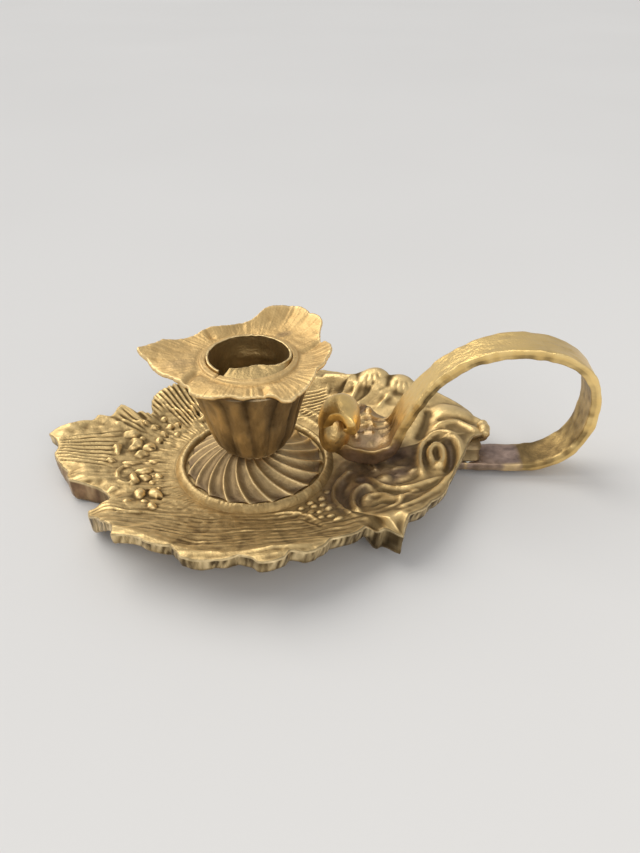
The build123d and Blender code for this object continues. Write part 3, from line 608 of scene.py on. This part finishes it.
# Darker over the right part of the tray as painted shade, and darker at the front left.
right = ease(4, 34, tray_x) * ease(16, 2, tray_y)
relief = np.clip(relief - 0.1 * right - 0.08 * ease(-10, -30, tray_y) * ease(-30, -8, tray_x), 0, 1)
near_leaf = ease(15, 7, np.hypot(tray_x - 34.5, (tray_y + 3.0) * 1.1))
tray_heat = np.clip(0.95 * near_leaf * (0.75 + 0.5 * noise(tray_x, tray_y, 5, 31)), 0, 0.92)
tray_heat = np.maximum(tray_heat, 0.55 * ease(9, 3, np.hypot(tray_x - 25.4, (tray_y + 15) * 0.6)))
tray_heat = np.maximum(tray_heat, 0.6 * ease(1.6, 0.4, np.abs(tray_x - 54.4)) * ease(9, 4, np.abs(tray_y + 4.5)))
tray_heat[:TOP_FIRST] *= 0.3
tray_heat[RIM_FIRST - 4:] = 0
tray_heat[BAND_FIRST:BAND_END + 2] = 0.62 * tip_face
tray_wear += 0.45 * blob(tray_x, tray_y, 50.4, -4.2, 2.4, 5.0, 1.0, 6) * ease(-0.1, 0.25, fine)
tray_piece = make_piece("leaf_tray", tray_points, ring_faces(tray_points, True),
                        (relief, np.clip(tray_wear, 0, 1), tray_heat), "stand", "tray", LEAF)
# The rounded edge and filed band take the darker rim metal, as painted shade.
tray_piece.data.materials.append(RIM_SHADED)
metal_index = np.zeros(tray_z.shape, np.int32)
metal_index[RIM_FIRST - 1:BAND_END + 1] = 1
tray_piece.data.polygons.foreach_set("material_index", metal_index.ravel())

# Rolled end of the stem
steps = np.linspace(0, 1, 25)
roll_line = [(65.2 + 0.5 * math.sin(3 * t), 4.0 + 6.6 * t, 9.6 + 0.5 * math.sin(math.pi * t)) for t in steps]
roll_line = np.array(roll_line)
roll_size = [1.55 * min(1.0, math.sqrt(max(0.02, 1 - (2 * t - 1) ** 6))) + 0.1 * math.sin(17 * t) for t in steps]
roll_a = circle(28)[:, None]
roll = []
for k, point in enumerate(roll_line):
    ahead = roll_line[min(k + 1, len(roll_line) - 1)] - roll_line[max(k - 1, 0)]
    ahead = ahead / np.linalg.norm(ahead)
    side_way = np.cross(ahead, (0, 0, 1))
    side_way = side_way / np.linalg.norm(side_way)
    roll.append(point + roll_size[k] * (np.cos(roll_a) * side_way + np.sin(roll_a) * np.cross(side_way, ahead)))
roll = np.array(roll)
make_piece("stem_roll", roll, capped(roll), (0.55, 0.35, 0.0), "stand", None, LEAF)

# Lug between the stem and the strap: square with round corners and a slight waist
LUG_FOOT, LUG_TOP = 4.8, 8.8
lug_a = circle(48)
c, s = np.cos(lug_a), np.sin(lug_a)
square = (np.abs(c) ** 5 + np.abs(s) ** 5) ** -0.2
lug = []
for k in range(13):
    t = k / 12
    grow = 1.0 + 0.12 * (2 * t - 1) ** 2
    lug.append(np.stack([LUG_X + 3.5 * grow * square * c, STRAP_Y + 3.75 * grow * square * s,
                         LUG_FOOT + (LUG_TOP - LUG_FOOT) * t + 0 * lug_a], -1))
lug = np.array(lug)
make_piece("strap_lug", lug, capped(lug), (0.35, 0.1, 0.4), "stand", None, LEAF)

# Swirled foot: hollow flutes between sharp arrises, turning outwards
FLUTES = 20
FOOT_RISE, FOOT_RADIUS, FOOT_TURN = 6.4, 19.2, 34.0
foot = Rings(FLUTES * 26)
# The left side of the foot is painted darker, with duller arrises: painted shade.
shaded_side = ease(-0.2, 0.9, -np.cos(foot.angle - 0.25))
levels = [(0.0, 1.0, 0.0), (0.12, 0.985, 0.03), (0.42, 0.83, 0.28), (0.72, 0.61, 0.6), (0.93, 0.43, 0.88),
          (1.0, 0.355, 1.0)]
for z, r, t in smooth_line([(FOOT_RISE * z, FOOT_RADIUS * r, FOOT_TURN * t) for z, r, t in levels], 9):
    place = (foot.angle + math.radians(t)) * FLUTES / (2 * np.pi)
    u = place - np.floor(place)
    scoop = 4 * u * (1 - u)
    arris = (1 - scoop) ** 3
    depth = 0.35 + 0.75 * ease(6.5, 16, r)
    low = 1 - ease(0, 1.2, z)
    height = np.maximum(FLOOR_TOP + z - depth * 0.95 * scoop * ease(0.2, 2.0, z), FLOOR_TOP)
    wear_and_glint = 0.85 * arris ** 1.5 * ease(5, 8, r) * (1 - 0.8 * shaded_side)
    level = 0.36 + 0.55 * arris * (1 - 0.45 * shaded_side) - 0.14 * scoop * ease(13, 19, r) - 0.1 * shaded_side
    foot.add(r - depth * scoop * (0.35 + 0.65 * low), height, wear_and_glint, level, 0.55 * ease(16.5, 19, r) * scoop)
for r, z in ((6.7, FOOT_TOP), (HOLE, FOOT_TOP), (HOLE, 6.6), (9.6, 6.6), (16.0, FLOOR_TOP)):
    foot.add(r, z, relief=0.3)
ring_piece("swirled_foot", foot, "stand", "swirl_foot", SWIRL)

# Fluted cup: sixteen soft flutes, open inside for the nozzle
LOBES = 16
CUP_HEIGHT, CUP_RADIUS = 25.1, 17.2
cup = Rings(LOBES * 26)
profile = [(0.0, 0.36), (0.055, 0.5), (0.15, 0.6), (0.31, 0.69), (0.51, 0.765), (0.71, 0.85), (0.87, 0.935),
           (1.0, 1.0)]
for z, r in smooth_line([(CUP_HEIGHT * z, CUP_RADIUS * r) for z, r in profile], 9):
    share = z / CUP_HEIGHT
    # The flutes differ in width, sway a little and run out at the mouth
    sway = 0.1 * np.sin(2 * cup.angle + 0.6) + 0.05 * np.sin(5 * cup.angle + 3 * share)
    place = (cup.angle + sway) * LOBES / (2 * np.pi)
    u = place - np.floor(place)
    swell = np.sin(np.pi * u) ** 0.7
    depth = (0.3 + 0.35 * share) * (1 - 0.6 * ease(0.85, 1.0, share))
    wavy = 0.22 * ring_noise(cup.degree / 9, 41, z / 5) + 0.07 * ring_noise(cup.degree / 3, 42, z / 2)
    flare = 1.1 * ease(0.8, 1.0, share) * ease(55, 20, turn_gap(cup.degree, 205))
    wear_and_glint = 0.3 * swell ** 3 * ease(-0.1, 0.5, ring_noise(cup.degree / 14, 43, z / 7))
    # Flute crests lighter than the hollows, partly patina and partly painted shade; the top of the cup darker just
    # under the pan, as painted shade.
    level = np.clip(0.36 + 0.22 * swell + 0.75 * wavy - 0.1 * ease(0.82, 1.0, share), 0, 1)
    cup.add(r - depth * (1 - swell) + 0.1 * swell + wavy + flare, FOOT_TOP + z, wear_and_glint, level)
for r, z in ((11.9, CUP_TOP), (11.5, CUP_TOP - 0.3), (11.5, 22.7), (9.2, 22.7), (9.2, 15.8), (7.4, 12.8),
             (HOLE, 12.8), (HOLE, FOOT_TOP), (6.0, FOOT_TOP)):
    cup.add(r, z, relief=0.35)
ring_piece("fluted_cup", cup, "stand", "candle_cup", CUP)

# Drip pan: four-petal sheet with a ringed collar
pan = Rings(640)
pan_rim = rim_radius("drip_pan", pan.angle, start=36)
# How far the rim stands above the plain sheet, by bearing from the front right
RIM_LIFT = [(0, 0), (15, 0.5), (30, 1.2), (45, 1.5), (54, 1.8), (67, 1.2), (84, 0.6), (100, -0.5), (112, -0.8),
            (126, 0.0), (135, 1.8), (142, 2.8), (151, 2.2), (164, 2.1), (180, 2.2), (193, 2.0), (203, 0.9), (218, 0),
            (360, 0)]
rim_lift = even_out(read_off(RIM_LIFT, (pan.degree + 60) % 360), 10)
# Sunk pleats of the petals: points, half width and depth
PLEATS = [
    ([(13, 3), (17, 6), (19.5, 9.5)], 1.0, 0.8),
    ([(-10, 10.2), (-12, 12.4), (-13.2, 14.0)], 0.9, 0.6),
    ([(-12, -6), (-14, -9), (-15, -12.5)], 1.0, 0.8),
    ([(4, -13.5), (4.6, -15.2), (4.8, -17)], 1.0, 0.7),
]


def pan_height(r):
    """Top of the plain sheet, flat round the collar and tilted further out."""
    flat_end, lift_start = 14.0, 12.6
    out = np.maximum((r - flat_end) / 10.0, 0)
    tilt = np.where(np.sin(pan.angle) > 0, 1.6, 4.4)
    rising = rim_lift * np.clip((r - lift_start) / (pan_rim - lift_start), 0, 1) ** 1.5
    return PAN_TOP + (1.4 + tilt * np.sin(pan.angle) + 0.3 * np.cos(pan.angle)) * out ** 2 + rising


# Collar, cut where the sleeve's slit meets it
slot_cut = 0.5 * np.exp(-(turn_gap(pan.degree, 233) / 1.3) ** 2)
uneven = 0.09 * ring_noise(pan.degree / 9, 51)
for r, z, wear_and_glint in ((11.25, 37.4, 0.1), (11.35, 37.72, 0.3), (11.6, 37.8, 0.25), (11.9, 37.8, 0.05), (12.2, 37.72, 0.0),
                   (12.5, 37.74, 0.05), (12.75, 37.7, 0.3), (12.95, 37.45, 0.2), (13.1, 37.1, 0.0),
                   (13.3, 37.0, 0.0)):
    pan.add(r + 0.5 * uneven, np.maximum(z + uneven - slot_cut, pan_height(r) - 0.1), wear_and_glint)
COLLAR_ROWS, PAN_ROWS, SHEET_START = len(pan.rows), 46, 13.4
for k in range(1, PAN_ROWS + 1):
    share = k / PAN_ROWS
    r = SHEET_START + (pan_rim - 0.3 - SHEET_START) * share
    outer = ease(0.15, 1.0, share)
    x, y = r * np.cos(pan.angle), r * np.sin(pan.angle)
    rays = 0.1 * noise(pan.degree * 0.55, r / 12, 1.0, 52) + 0.07 * noise(pan.degree * 1.3, r / 8, 1.0, 53)
    wavy = 0.32 * noise(x, y, 6.5, 54) * outer + 0.1 * noise(x, y, 1.6, 55)
    pleat = 0.25 * np.sin(np.radians(pan.degree * 9) + 1.5 * np.sin(pan.angle)) * outer ** 2
    for points, width, depth in PLEATS:
        pleat -= stroke(x, y, points, width, depth)
    groove = -0.12 * np.exp(-((r - 13.8) / 0.6) ** 2)
    pan_edge = pan_height(r) + (rays * (0.35 + 0.65 * outer)) + wavy + pleat + groove
    pan.add(r, pan_edge, 0.35 * ease(0.9, 1.0, share))
# Rubbed edge of the sheet, then its underside
thin = 1.15 + 0.25 * ring_noise(pan.degree / 6, 56)
nick = 0.12 * ring_noise(pan.degree / 1.6, 57)
pan.add(pan_rim - 0.08 + nick, pan_edge - 0.18, 0.85)
pan.add(pan_rim + nick, pan_edge - 0.45, 0.95)
pan.add(pan_rim - 0.05 + nick, pan_edge - thin + 0.25, 0.7)
pan.add(pan_rim - 0.4, pan_edge - thin, 0.3)
PAN_UNDER, UNDER_STEPS, FLANGE = len(pan.rows), 12, 17.0
for k in range(1, UNDER_STEPS + 1):
    share = k / UNDER_STEPS
    r = pan_rim - 0.5 + (FLANGE - pan_rim + 0.5) * share
    under = pan_height(r) - 1.5 + 0.2 * noise(r * np.cos(pan.angle), r * np.sin(pan.angle), 3, 58)
    lip = ease(0.35, 0.0, share)
    pan.add(r, under * (1 - lip) + (pan_edge - thin) * lip)
for r, z in ((16.8, CUP_TOP + 0.3), (16.5, CUP_TOP), (13.0, CUP_TOP), (11.3, CUP_TOP), (11.25, CUP_TOP + 0.3)):
    pan.add(r, z)
pan_r, pan_z, pan_wear, _, _ = pan.collect()
pan_points = pan.points(pan_r, pan_z)
pan_x, pan_y = pan_points[..., 0], pan_points[..., 1]
# Hollows of the sheet darker and ridges lighter, partly patina and partly painted shade; the underside darker, as
# painted shade under the pan.
pan_relief = np.clip(0.6 + 1.1 * (pan_z - soften(pan_z, 4)), 0, 1)
pan_relief[:COLLAR_ROWS] = 0.58
pan_relief[PAN_UNDER - 1:] = 0.25
pan_heat = 0.55 * blob(pan_x, pan_y, 8.6, 13.6, 2.6, 1.5, 1.0, 25)
pan_heat += 0.25 * blob(pan_x, pan_y, -18, -3, 5, 3, 1.0, 20)
pan_heat[PAN_UNDER:] = 0.5
make_piece("petal_pan", pan_points, ring_faces(pan_points, True), (pan_relief, pan_wear, pan_heat), "nozzle",
           "drip_pan", PAN)

# Split sleeve of thin sheet; its front edge is bent in beside the slit
SLIT = -127.0
SLEEVE_COLS, SLEEVE_OUTER, SLEEVE_INNER, SLEEVE_TOP = 240, 11.2, 10.6, 38.4
half_slit = math.degrees(0.6 / 11.0)
sleeve_deg = np.linspace(SLIT + half_slit, SLIT + 360 - half_slit, SLEEVE_COLS)
sleeve_a = np.radians(sleeve_deg)
TONGUE = [(-127, 2.8), (-119, 3.4), (-99, 5.0), (-80, 5.9), (-62, 6.0), (-48, 4.4), (-33, 2.0), (-19, 0.5), (-10, 0)]
tongue = even_out(read_off(TONGUE, sleeve_deg), 6, closed=False)
heights = np.concatenate([np.linspace(23.0, 35.6, 16), np.linspace(35.9, SLEEVE_TOP, 14)])
section = [(SLEEVE_OUTER, z) for z in heights] + [(SLEEVE_INNER, z) for z in heights[::-1]]
sleeve = []
for radius, z in section:
    fold = ease(36.4, SLEEVE_TOP, z)
    rr = radius - tongue * fold + 0.06 * ring_noise(sleeve_deg / 8, 61, z / 3)
    crumple = 0.7 * ring_noise(sleeve_deg / 20, 62, z / 4) * ease(24, 27, z) * ease(35, 32, z)
    rr += np.minimum(crumple, 0) * ease(60, 20, np.abs(sleeve_deg - 85))
    inside = 0.09 * tongue * fold if radius == SLEEVE_INNER else 0
    drop = 0.06 * tongue * ease(37.0, SLEEVE_TOP, z) ** 2 + inside
    ragged = 0.1 * ring_noise(sleeve_deg / 5, 63) * fold
    sleeve.append(np.stack([rr * np.cos(sleeve_a), rr * np.sin(sleeve_a), z - drop + ragged], -1))
sleeve = np.array(sleeve)
# The columns stay open at the slit, where one face closes each end of the sheet
index = np.arange(len(sleeve) * SLEEVE_COLS).reshape(-1, SLEEVE_COLS)
looped = np.vstack([index, index[:1]])
quads = np.stack([looped[:-1, :-1], looped[:-1, 1:], looped[1:, 1:], looped[1:, :-1]], -1).reshape(-1, 4).tolist()
quads += [index[:, 0].tolist(), index[::-1, -1].tolist()]
EDGE = len(heights)
sleeve_level = np.full(sleeve.shape[:2], 0.5)
sleeve_level[EDGE - 10:EDGE] = 0.48
sleeve_wear_and_glint = np.zeros(sleeve.shape[:2])
sleeve_wear_and_glint[EDGE - 1:EDGE + 1] = 0.8
# A bright wavy band on the inner wall of the sleeve, carried with the rubbed top edge: a painted reflection.
glint = 31.6 + 1.1 * np.sin(np.radians(3.0 * sleeve_deg)) - 0.04 * np.abs(sleeve_deg - 90)
for k in range(EDGE + 2, len(sleeve)):
    shine = np.exp(-((section[k][1] - glint) / 0.7) ** 2)
    sleeve_wear_and_glint[k] = 0.8 * shine * ease(52, 30, np.abs(sleeve_deg - 82))
make_piece("split_sleeve", sleeve, quads, (sleeve_level, sleeve_wear_and_glint, 0.0), "nozzle", "candle_sleeve",
           SHEET)

# Handle: one strap from the curled leaf end over the finger loop and back under the stem, as x and z
REACH, HEIGHT, SEAT, STEM, CURL = 94.0, 41.0, 31.3, 64.5, 14.4
curl = [(0.365, 0.415), (0.3, 0.475), (0.463, 0.525), (0.66, 0.495), (0.743, 0.4), (0.711, 0.305),
        (0.569, 0.235), (0.378, 0.19)]
rise = [(0.224, 0.24), (0.266, 0.335), (0.346, 0.49), (0.544, 0.725), (0.694, 0.835), (0.883, 0.92), (1.158, 0.97)]
loop = [(0.522, 0.94), (0.8, 0.835), (0.93, 0.68), (0.952, 0.48), (0.892, 0.295), (0.745, 0.16)]
centre = [(SEAT - x * CURL, z * HEIGHT) for x, z in curl]
centre += [(SEAT - 3.25, 7.25), (SEAT, 7.2), (SEAT + 3.25, 7.35)]
centre += [(SEAT + x * (STEM - SEAT), z * HEIGHT) for x, z in rise]
centre += [(STEM + x * (REACH - STEM), z * HEIGHT) for x, z in loop]
centre += [(79.0, 3.3), (70.0, 3.2), (61.0, 3.2), (53.0, 3.2)]
LINE_STEPS = 12
line = even_out(smooth_line(centre, LINE_STEPS), 30, middle=2, closed=False)
line_x, line_z = line[:, 0], line[:, 1]
# Half widths along x, as shares of the strap's width
STRAP_WIDTH = 10.4
WIDTH = [(16.9, 0.24), (20.7, 0.36), (26.3, 0.6), (31.9, 0.73), (37.6, 0.68), (43.2, 0.53), (49.8, 0.44),
         (58.3, 0.45), (70.5, 0.5), (95.9, 0.5)]
half_width = STRAP_WIDTH * read_off(WIDTH, line_x)
tangent = np.gradient(line, axis=0)
tangent /= np.linalg.norm(tangent, axis=1)[:, None]
normal = np.stack([-tangent[:, 1], tangent[:, 0]], -1)
length = np.concatenate([[0], np.cumsum(np.linalg.norm(np.diff(line, axis=0), axis=1))])
curl_end = length[len(curl) * LINE_STEPS]
curl_zone = ease(curl_end - 3, curl_end - 10, length)
leaf_zone = ease(curl_end - 8, curl_end + 1, length) * ease(curl_end + 26, curl_end + 12, length)
low_zone = ease(length[-1] - 36, length[-1] - 30, length)
arch_zone = ease(curl_end + 12, curl_end + 26, length) * (1 - low_zone)
# Both sides of the leaf stand up, the far one more
FAR_LIFT = [(23.0, 0), (25.0, 4.5), (26.8, 6.4), (30.0, 8.2), (33.2, 6.9), (35.3, 4.6), (37.5, 2.6), (40.0, 0.9),
            (43.0, 0)]
NEAR_LIFT = [(22.5, 0), (25.0, 2.4), (28.5, 2.0), (33.0, 1.9), (36.4, 1.6), (39.0, 0.6), (41.5, 0)]
past_curl = ease(curl_end - 10, curl_end - 2, length)
far_lift = read_off(FAR_LIFT, line_x) * past_curl * (1 - low_zone)
near_lift = read_off(NEAR_LIFT, line_x) * past_curl * (1 - low_zone)
# Points round the strap: over the top, down the near edge, back underneath and up the far edge
TOP_POINTS, UNDER_POINTS, FLAT, ROUND = 60, 12, 0.94, 0.06
corner_turn = np.radians(np.linspace(75, -75, 12))
share_y = np.concatenate([np.linspace(FLAT, -FLAT, TOP_POINTS), -FLAT - ROUND * np.cos(corner_turn),
                          np.linspace(-FLAT, FLAT, UNDER_POINTS), FLAT + ROUND * np.cos(corner_turn)])
share_n = np.concatenate([np.ones(TOP_POINTS), np.sin(corner_turn), -np.ones(UNDER_POINTS),
                          np.sin(corner_turn[::-1])])
top = ease(0.2, 0.8, share_n)
# Lines on the leaf: along the strap in millimetres, then across it from -6 near to 6 far; half width and height
LEAF_HALF = 6
LEAF_LINES = [
    ([(29, 3.5), (33, 4.2), (37, 4.9), (41, 5.2)], 0.3, 0.55),
    ([(30, 2.9), (34, 3.5), (38, 4.2), (42, 4.5)], 0.28, 0.5),
    ([(32, 2.4), (35, 2.8), (38.5, 3.4), (42, 3.7)], 0.28, 0.45),
    ([(31, 3.2), (35, 3.9), (39, 4.6)], 0.3, -0.55),
    ([(33, 2.2), (36.5, 2.7), (40, 3.2)], 0.28, -0.45),
    ([(27.4, 2.7), (29, 2.1), (31.2, 2.3), (33.2, 3.1), (34.6, 2.5)], 0.36, 0.85),
    ([(27.6, 1.9), (29.4, 1.3), (31.4, 1.6), (33.4, 2.2)], 0.32, -0.6),
    ([(30.6, 0.9), (32.2, 1.2), (34, 1.3)], 0.3, 0.6),
    ([(28, 0.2), (28.6, 0.6), (29.2, 0.4)], 0.45, 0.7),
    ([(26, 0.4), (26.6, 2.8), (28.4, 5)], 0.35, -0.45),
    ([(36, 0.4), (38.6, 1.2), (41, 1.6)], 0.4, -0.4),
    ([(31.2, 4.6), (32.6, 4.9), (33.4, 5.5)], 0.45, 0.9),
    ([(29.4, 4.7), (31.2, 5.1), (32.4, 5.6)], 0.35, -0.8),
]
leaf_x = np.repeat(line[:, :1], len(share_y), 1)
leaf_y = np.broadcast_to(LEAF_HALF * share_y, leaf_x.shape)
chased = np.zeros(leaf_x.shape)
for points, width, height in LEAF_LINES:
    chased += stroke(leaf_x, leaf_y, points, width, height, 0.15)
strap, strap_relief, strap_wear, strap_heat = [], [], [], []
for k, half in enumerate(half_width):
    on_curl, on_leaf, on_arch, on_low = curl_zone[k], leaf_zone[k], arch_zone[k], low_zone[k]
    here = np.full(len(share_y), length[k])
    across = share_y * half
    across = across * np.where(across > 0, 1 + 0.06 * on_leaf - 0.42 * on_curl, 1.0 + 0.35 * on_curl)
    y_share = across / half
    edge = np.abs(y_share) ** 3
    # Place across the sheet, with its cupped leaf, chased lines, rough edges and rippled sides
    through = share_n * (1.2 + 0.15 * on_arch - 0.25 * on_leaf * ease(0, 1, y_share))
    rolled = 0.9 * np.exp(-((y_share - 0.93) / 0.1) ** 2) * ease(3.4, 1.0, abs(line_x[k] - 30.6))
    hollow = on_leaf * (0.55 * edge * (y_share < 0) - 0.3 * (1 - edge) + rolled) * top
    rough = 0.07 * noise(here, across * 1.3, 1.7, 71)
    rough += 0.24 * edge * noise(here, across, 2.2, 72) * (0.3 + 0.7 * on_arch)
    n = through + hollow + chased[k] * top * on_leaf + rough * np.sign(through)
    n -= 1.5 * on_curl * (1 - share_y ** 2) * (share_n < 0)
    ripple = 0.22 * noise(here, np.sign(share_y) * 5, 2.4, 73)
    raised = far_lift[k] * np.clip((y_share + 0.5) / 1.5, 0, 1) ** 1.35
    raised += near_lift[k] * np.clip(-y_share, 0, 1) ** 1.6 * ease(-0.9, 0.9, share_n)
    strap.append(np.stack([line_x[k] + normal[k, 0] * n, STRAP_Y + across + ripple * np.sign(share_y),
                           line_z[k] + normal[k, 1] * n + raised], -1))
    # What the surface shows there, with painted shade under the strap and on the near wall of the leaf
    near_edge = np.exp(-((y_share + 0.97) / 0.05) ** 2)
    corner = near_edge + np.exp(-((y_share - 0.97) / 0.05) ** 2)
    spots = ease(-0.1, 0.5, noise(here, 0 * here, 1.6, 76))
    level = 0.62 + 0.7 * chased[k] * top * on_leaf + 1.5 * rough - 0.18 * on_leaf * top - 0.14 * on_low
    # The strap's underside and the leaf's near wall are painted darker: painted shade.
    level = level - 0.26 * (1 - top) * (share_n < 0) * (1 - on_curl) + 0.16 * on_arch * top
    level -= 0.55 * (1 - top) * on_leaf * (y_share < 0)
    strap_relief.append(np.clip(level, 0, 1))
    patch = ease(3.2, 1.2, abs(length[k] - curl_end - 17.5))
    wear_and_glint = corner * (0.25 + 0.75 * spots) * (0.25 + 0.55 * on_arch) * (1 - on_leaf)
    wear_and_glint += 0.45 * near_edge * ease(0.5, 0.9, share_n) * on_leaf
    wear_and_glint = wear_and_glint + 0.9 * patch * near_edge * (0.4 + 0.6 * spots) + 0.35 * on_arch * top
    wear_and_glint += 0.6 * on_low * near_edge * spots * ease(75.5, 74.0, line_x[k])
    strap_wear.append(np.clip(wear_and_glint, 0, 1))
    wall_heat = 0.6 * on_leaf * (1 - top) * ease(curl_end + 17, curl_end + 11, length[k])
    hot = 0.36 * on_leaf * top + wall_heat + on_low * 0.95 * ease(76.0, 74.8, line_x[k])
    strap_heat.append(np.clip(hot + 0.18 * noise(here, across, 4, 74) * (hot > 0.1), 0, 0.95))
strap = np.array(strap)
# The curl ends in a thicker roll
for k, grow in enumerate((1.15, 1.35, 1.45, 1.45, 1.38, 1.25, 1.1)):
    middle = np.array([line_x[k], STRAP_Y, line_z[k]])
    strap[k] = middle + (strap[k] - middle) * np.array([grow, 1, grow])
make_piece("strap_handle", strap, capped(strap, flip=True), (strap_relief, strap_wear, strap_heat), "stand",
           "handle", STRAP)

# Rolled bud that fills the curl of the leaf end
BUD_ROWS = 34
bud_a = circle(64)
bud = []
for t in np.linspace(0.02, 0.98, BUD_ROWS):
    girth = math.sin(math.pi * t) ** 0.6
    lean = 1.6 * (t - 0.5)
    swirl = 0.16 * np.sin(3 * bud_a + 7 * t)
    bud_x = 22.6 + lean + (4.4 + swirl) * girth * np.cos(bud_a)
    bud_z = 13.6 + 1.6 * lean + (6.0 + swirl) * girth * np.sin(bud_a)
    bud.append(np.stack([bud_x, -4.2 + 9.4 * t + 0 * bud_a, bud_z], -1))
bud = np.array(bud)
bud_row = np.arange(BUD_ROWS)[:, None]
bud_level = 0.46 + 0.22 * ring_noise(np.degrees(bud_a) / 22 + bud_row / 6, 77, bud_row / 4)
make_piece("leaf_bud", bud, capped(bud, flip=True), (bud_level, 0.1, 0.12), "stand", None, STRAP)


def puddle(name, cx, cy, z, rx, ry, tall, seed, material, node):
    """A low irregular pad of filler metal with a rounded edge."""
    a = circle(72)
    wobble = 1 + 0.1 * ring_noise(np.degrees(a) / 18, seed)
    rings = []
    for t, up in ((0.05, 0.0), (0.6, 0.0), (0.97, 0.0), (1.0, 0.12), (1.0, 0.5), (0.97, 0.88), (0.9, 1.0), (0.5, 1.0),
                  (0.05, 1.0)):
        x, y = cx + rx * t * wobble * np.cos(a), cy + ry * t * wobble * np.sin(a)
        rings.append(np.stack([x, y, z + tall * up + 0 * a], -1))
    rings = np.array(rings)[::-1]
    level = 0.5 + 0.3 * ring_noise(np.degrees(a) / 12, seed + 1)
    make_piece(name, rings, capped(rings, flip=True), (level, 0.0, 0.0), "stand", node, material)


puddle("braze_pad", SEAT, STRAP_Y, 5.6, 3.25, 4.0, 0.4, 81, BRAZE, "front_braze")
puddle("solder_pad", LUG_X, STRAP_Y, 4.4, 4.0, 4.25, 0.4, 83, SOLDER, "rear_solder")

for node in ("centre_screw", "washer", "nut"):
    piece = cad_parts[node]
    piece.data.materials.clear()
    piece.data.materials.append(SCREW)

# Floor, light and camera, in metres
FLOOR_HALF = 3.0
floor_mesh = bpy.data.meshes.new("floor")
floor_corners = [(x * FLOOR_HALF, y * FLOOR_HALF, 0) for x, y in ((-1, -1), (1, -1), (1, 1), (-1, 1))]
floor_mesh.from_pydata(floor_corners, [], [(0, 1, 2, 3)])
floor = bpy.data.objects.new("floor", floor_mesh)
bpy.context.scene.collection.objects.link(floor)
floor_shade = bpy.data.materials.new("floor_pale")
floor_shade.use_nodes = True
floor_tree = floor_shade.node_tree
floor_shader = floor_tree.nodes["Principled BSDF"]
floor_grain = floor_tree.nodes.new("ShaderNodeTexNoise")
floor_grain.inputs["Scale"].default_value = 30
floor_tone = floor_tree.nodes.new("ShaderNodeValToRGB")
floor_tone.color_ramp.elements[0].color = (0.66, 0.65, 0.63, 1)
floor_tone.color_ramp.elements[1].color = (0.7, 0.69, 0.67, 1)
floor_tree.links.new(floor_grain.outputs["Fac"], floor_tone.inputs["Fac"])
floor_tree.links.new(floor_tone.outputs["Color"], floor_shader.inputs["Base Color"])
floor_shader.inputs["Roughness"].default_value = 0.9
floor_shader.inputs["Specular IOR Level"].default_value = 0.2
floor_mesh.materials.append(floor_shade)

world = bpy.data.worlds.new("studio")
bpy.context.scene.world = world
world.use_nodes = True
sky = world.node_tree.nodes["Background"]
sky.inputs["Color"].default_value = (0.93, 0.95, 1.0, 1)
sky.inputs["Strength"].default_value = 0.58


def aim(lamp, place, target):
    """Puts a lamp at a place and turns it to a target."""
    piece = bpy.data.objects.new(lamp.name, lamp)
    piece.location = place
    piece.rotation_euler = (Vector(target) - Vector(place)).to_track_quat("-Z", "Y").to_euler()
    bpy.context.scene.collection.objects.link(piece)


# A wide soft key from the upper left, even over the whole floor, and a weak panel in front
key = bpy.data.lights.new("key", "SUN")
key.energy = 1.75
key.angle = math.radians(60)
key.color = (1.0, 0.97, 0.92)
aim(key, (-0.55, 0.3, 0.75), (0, 0, 0))
fill = bpy.data.lights.new("fill", "AREA")
fill.shape = "RECTANGLE"
fill.size, fill.size_y = 0.5, 0.3
fill.energy = 1.2
fill.color = (1.0, 0.97, 0.93)
aim(fill, (0.22, -0.55, 0.42), (0.01, 0, 0.02))

# The photograph's focal length and height in pixels, on a sensor of any one size
FOCAL_PIXELS, FRAME_PIXELS, SENSOR = 789.0, 853.0, 36.0
LOOK_DOWN = 34.33
camera = bpy.data.objects.new("camera", bpy.data.cameras.new("camera"))
camera.data.sensor_width = SENSOR
camera.data.lens = FOCAL_PIXELS / FRAME_PIXELS * SENSOR
camera.data.clip_start = 0.01
camera.location = (0.0185, -0.1798, 0.1385)
camera.rotation_euler = (math.radians(90 - LOOK_DOWN), 0, 0)
bpy.context.scene.collection.objects.link(camera)
bpy.context.scene.camera = camera
bpy.context.scene.view_settings.view_transform = "Standard"
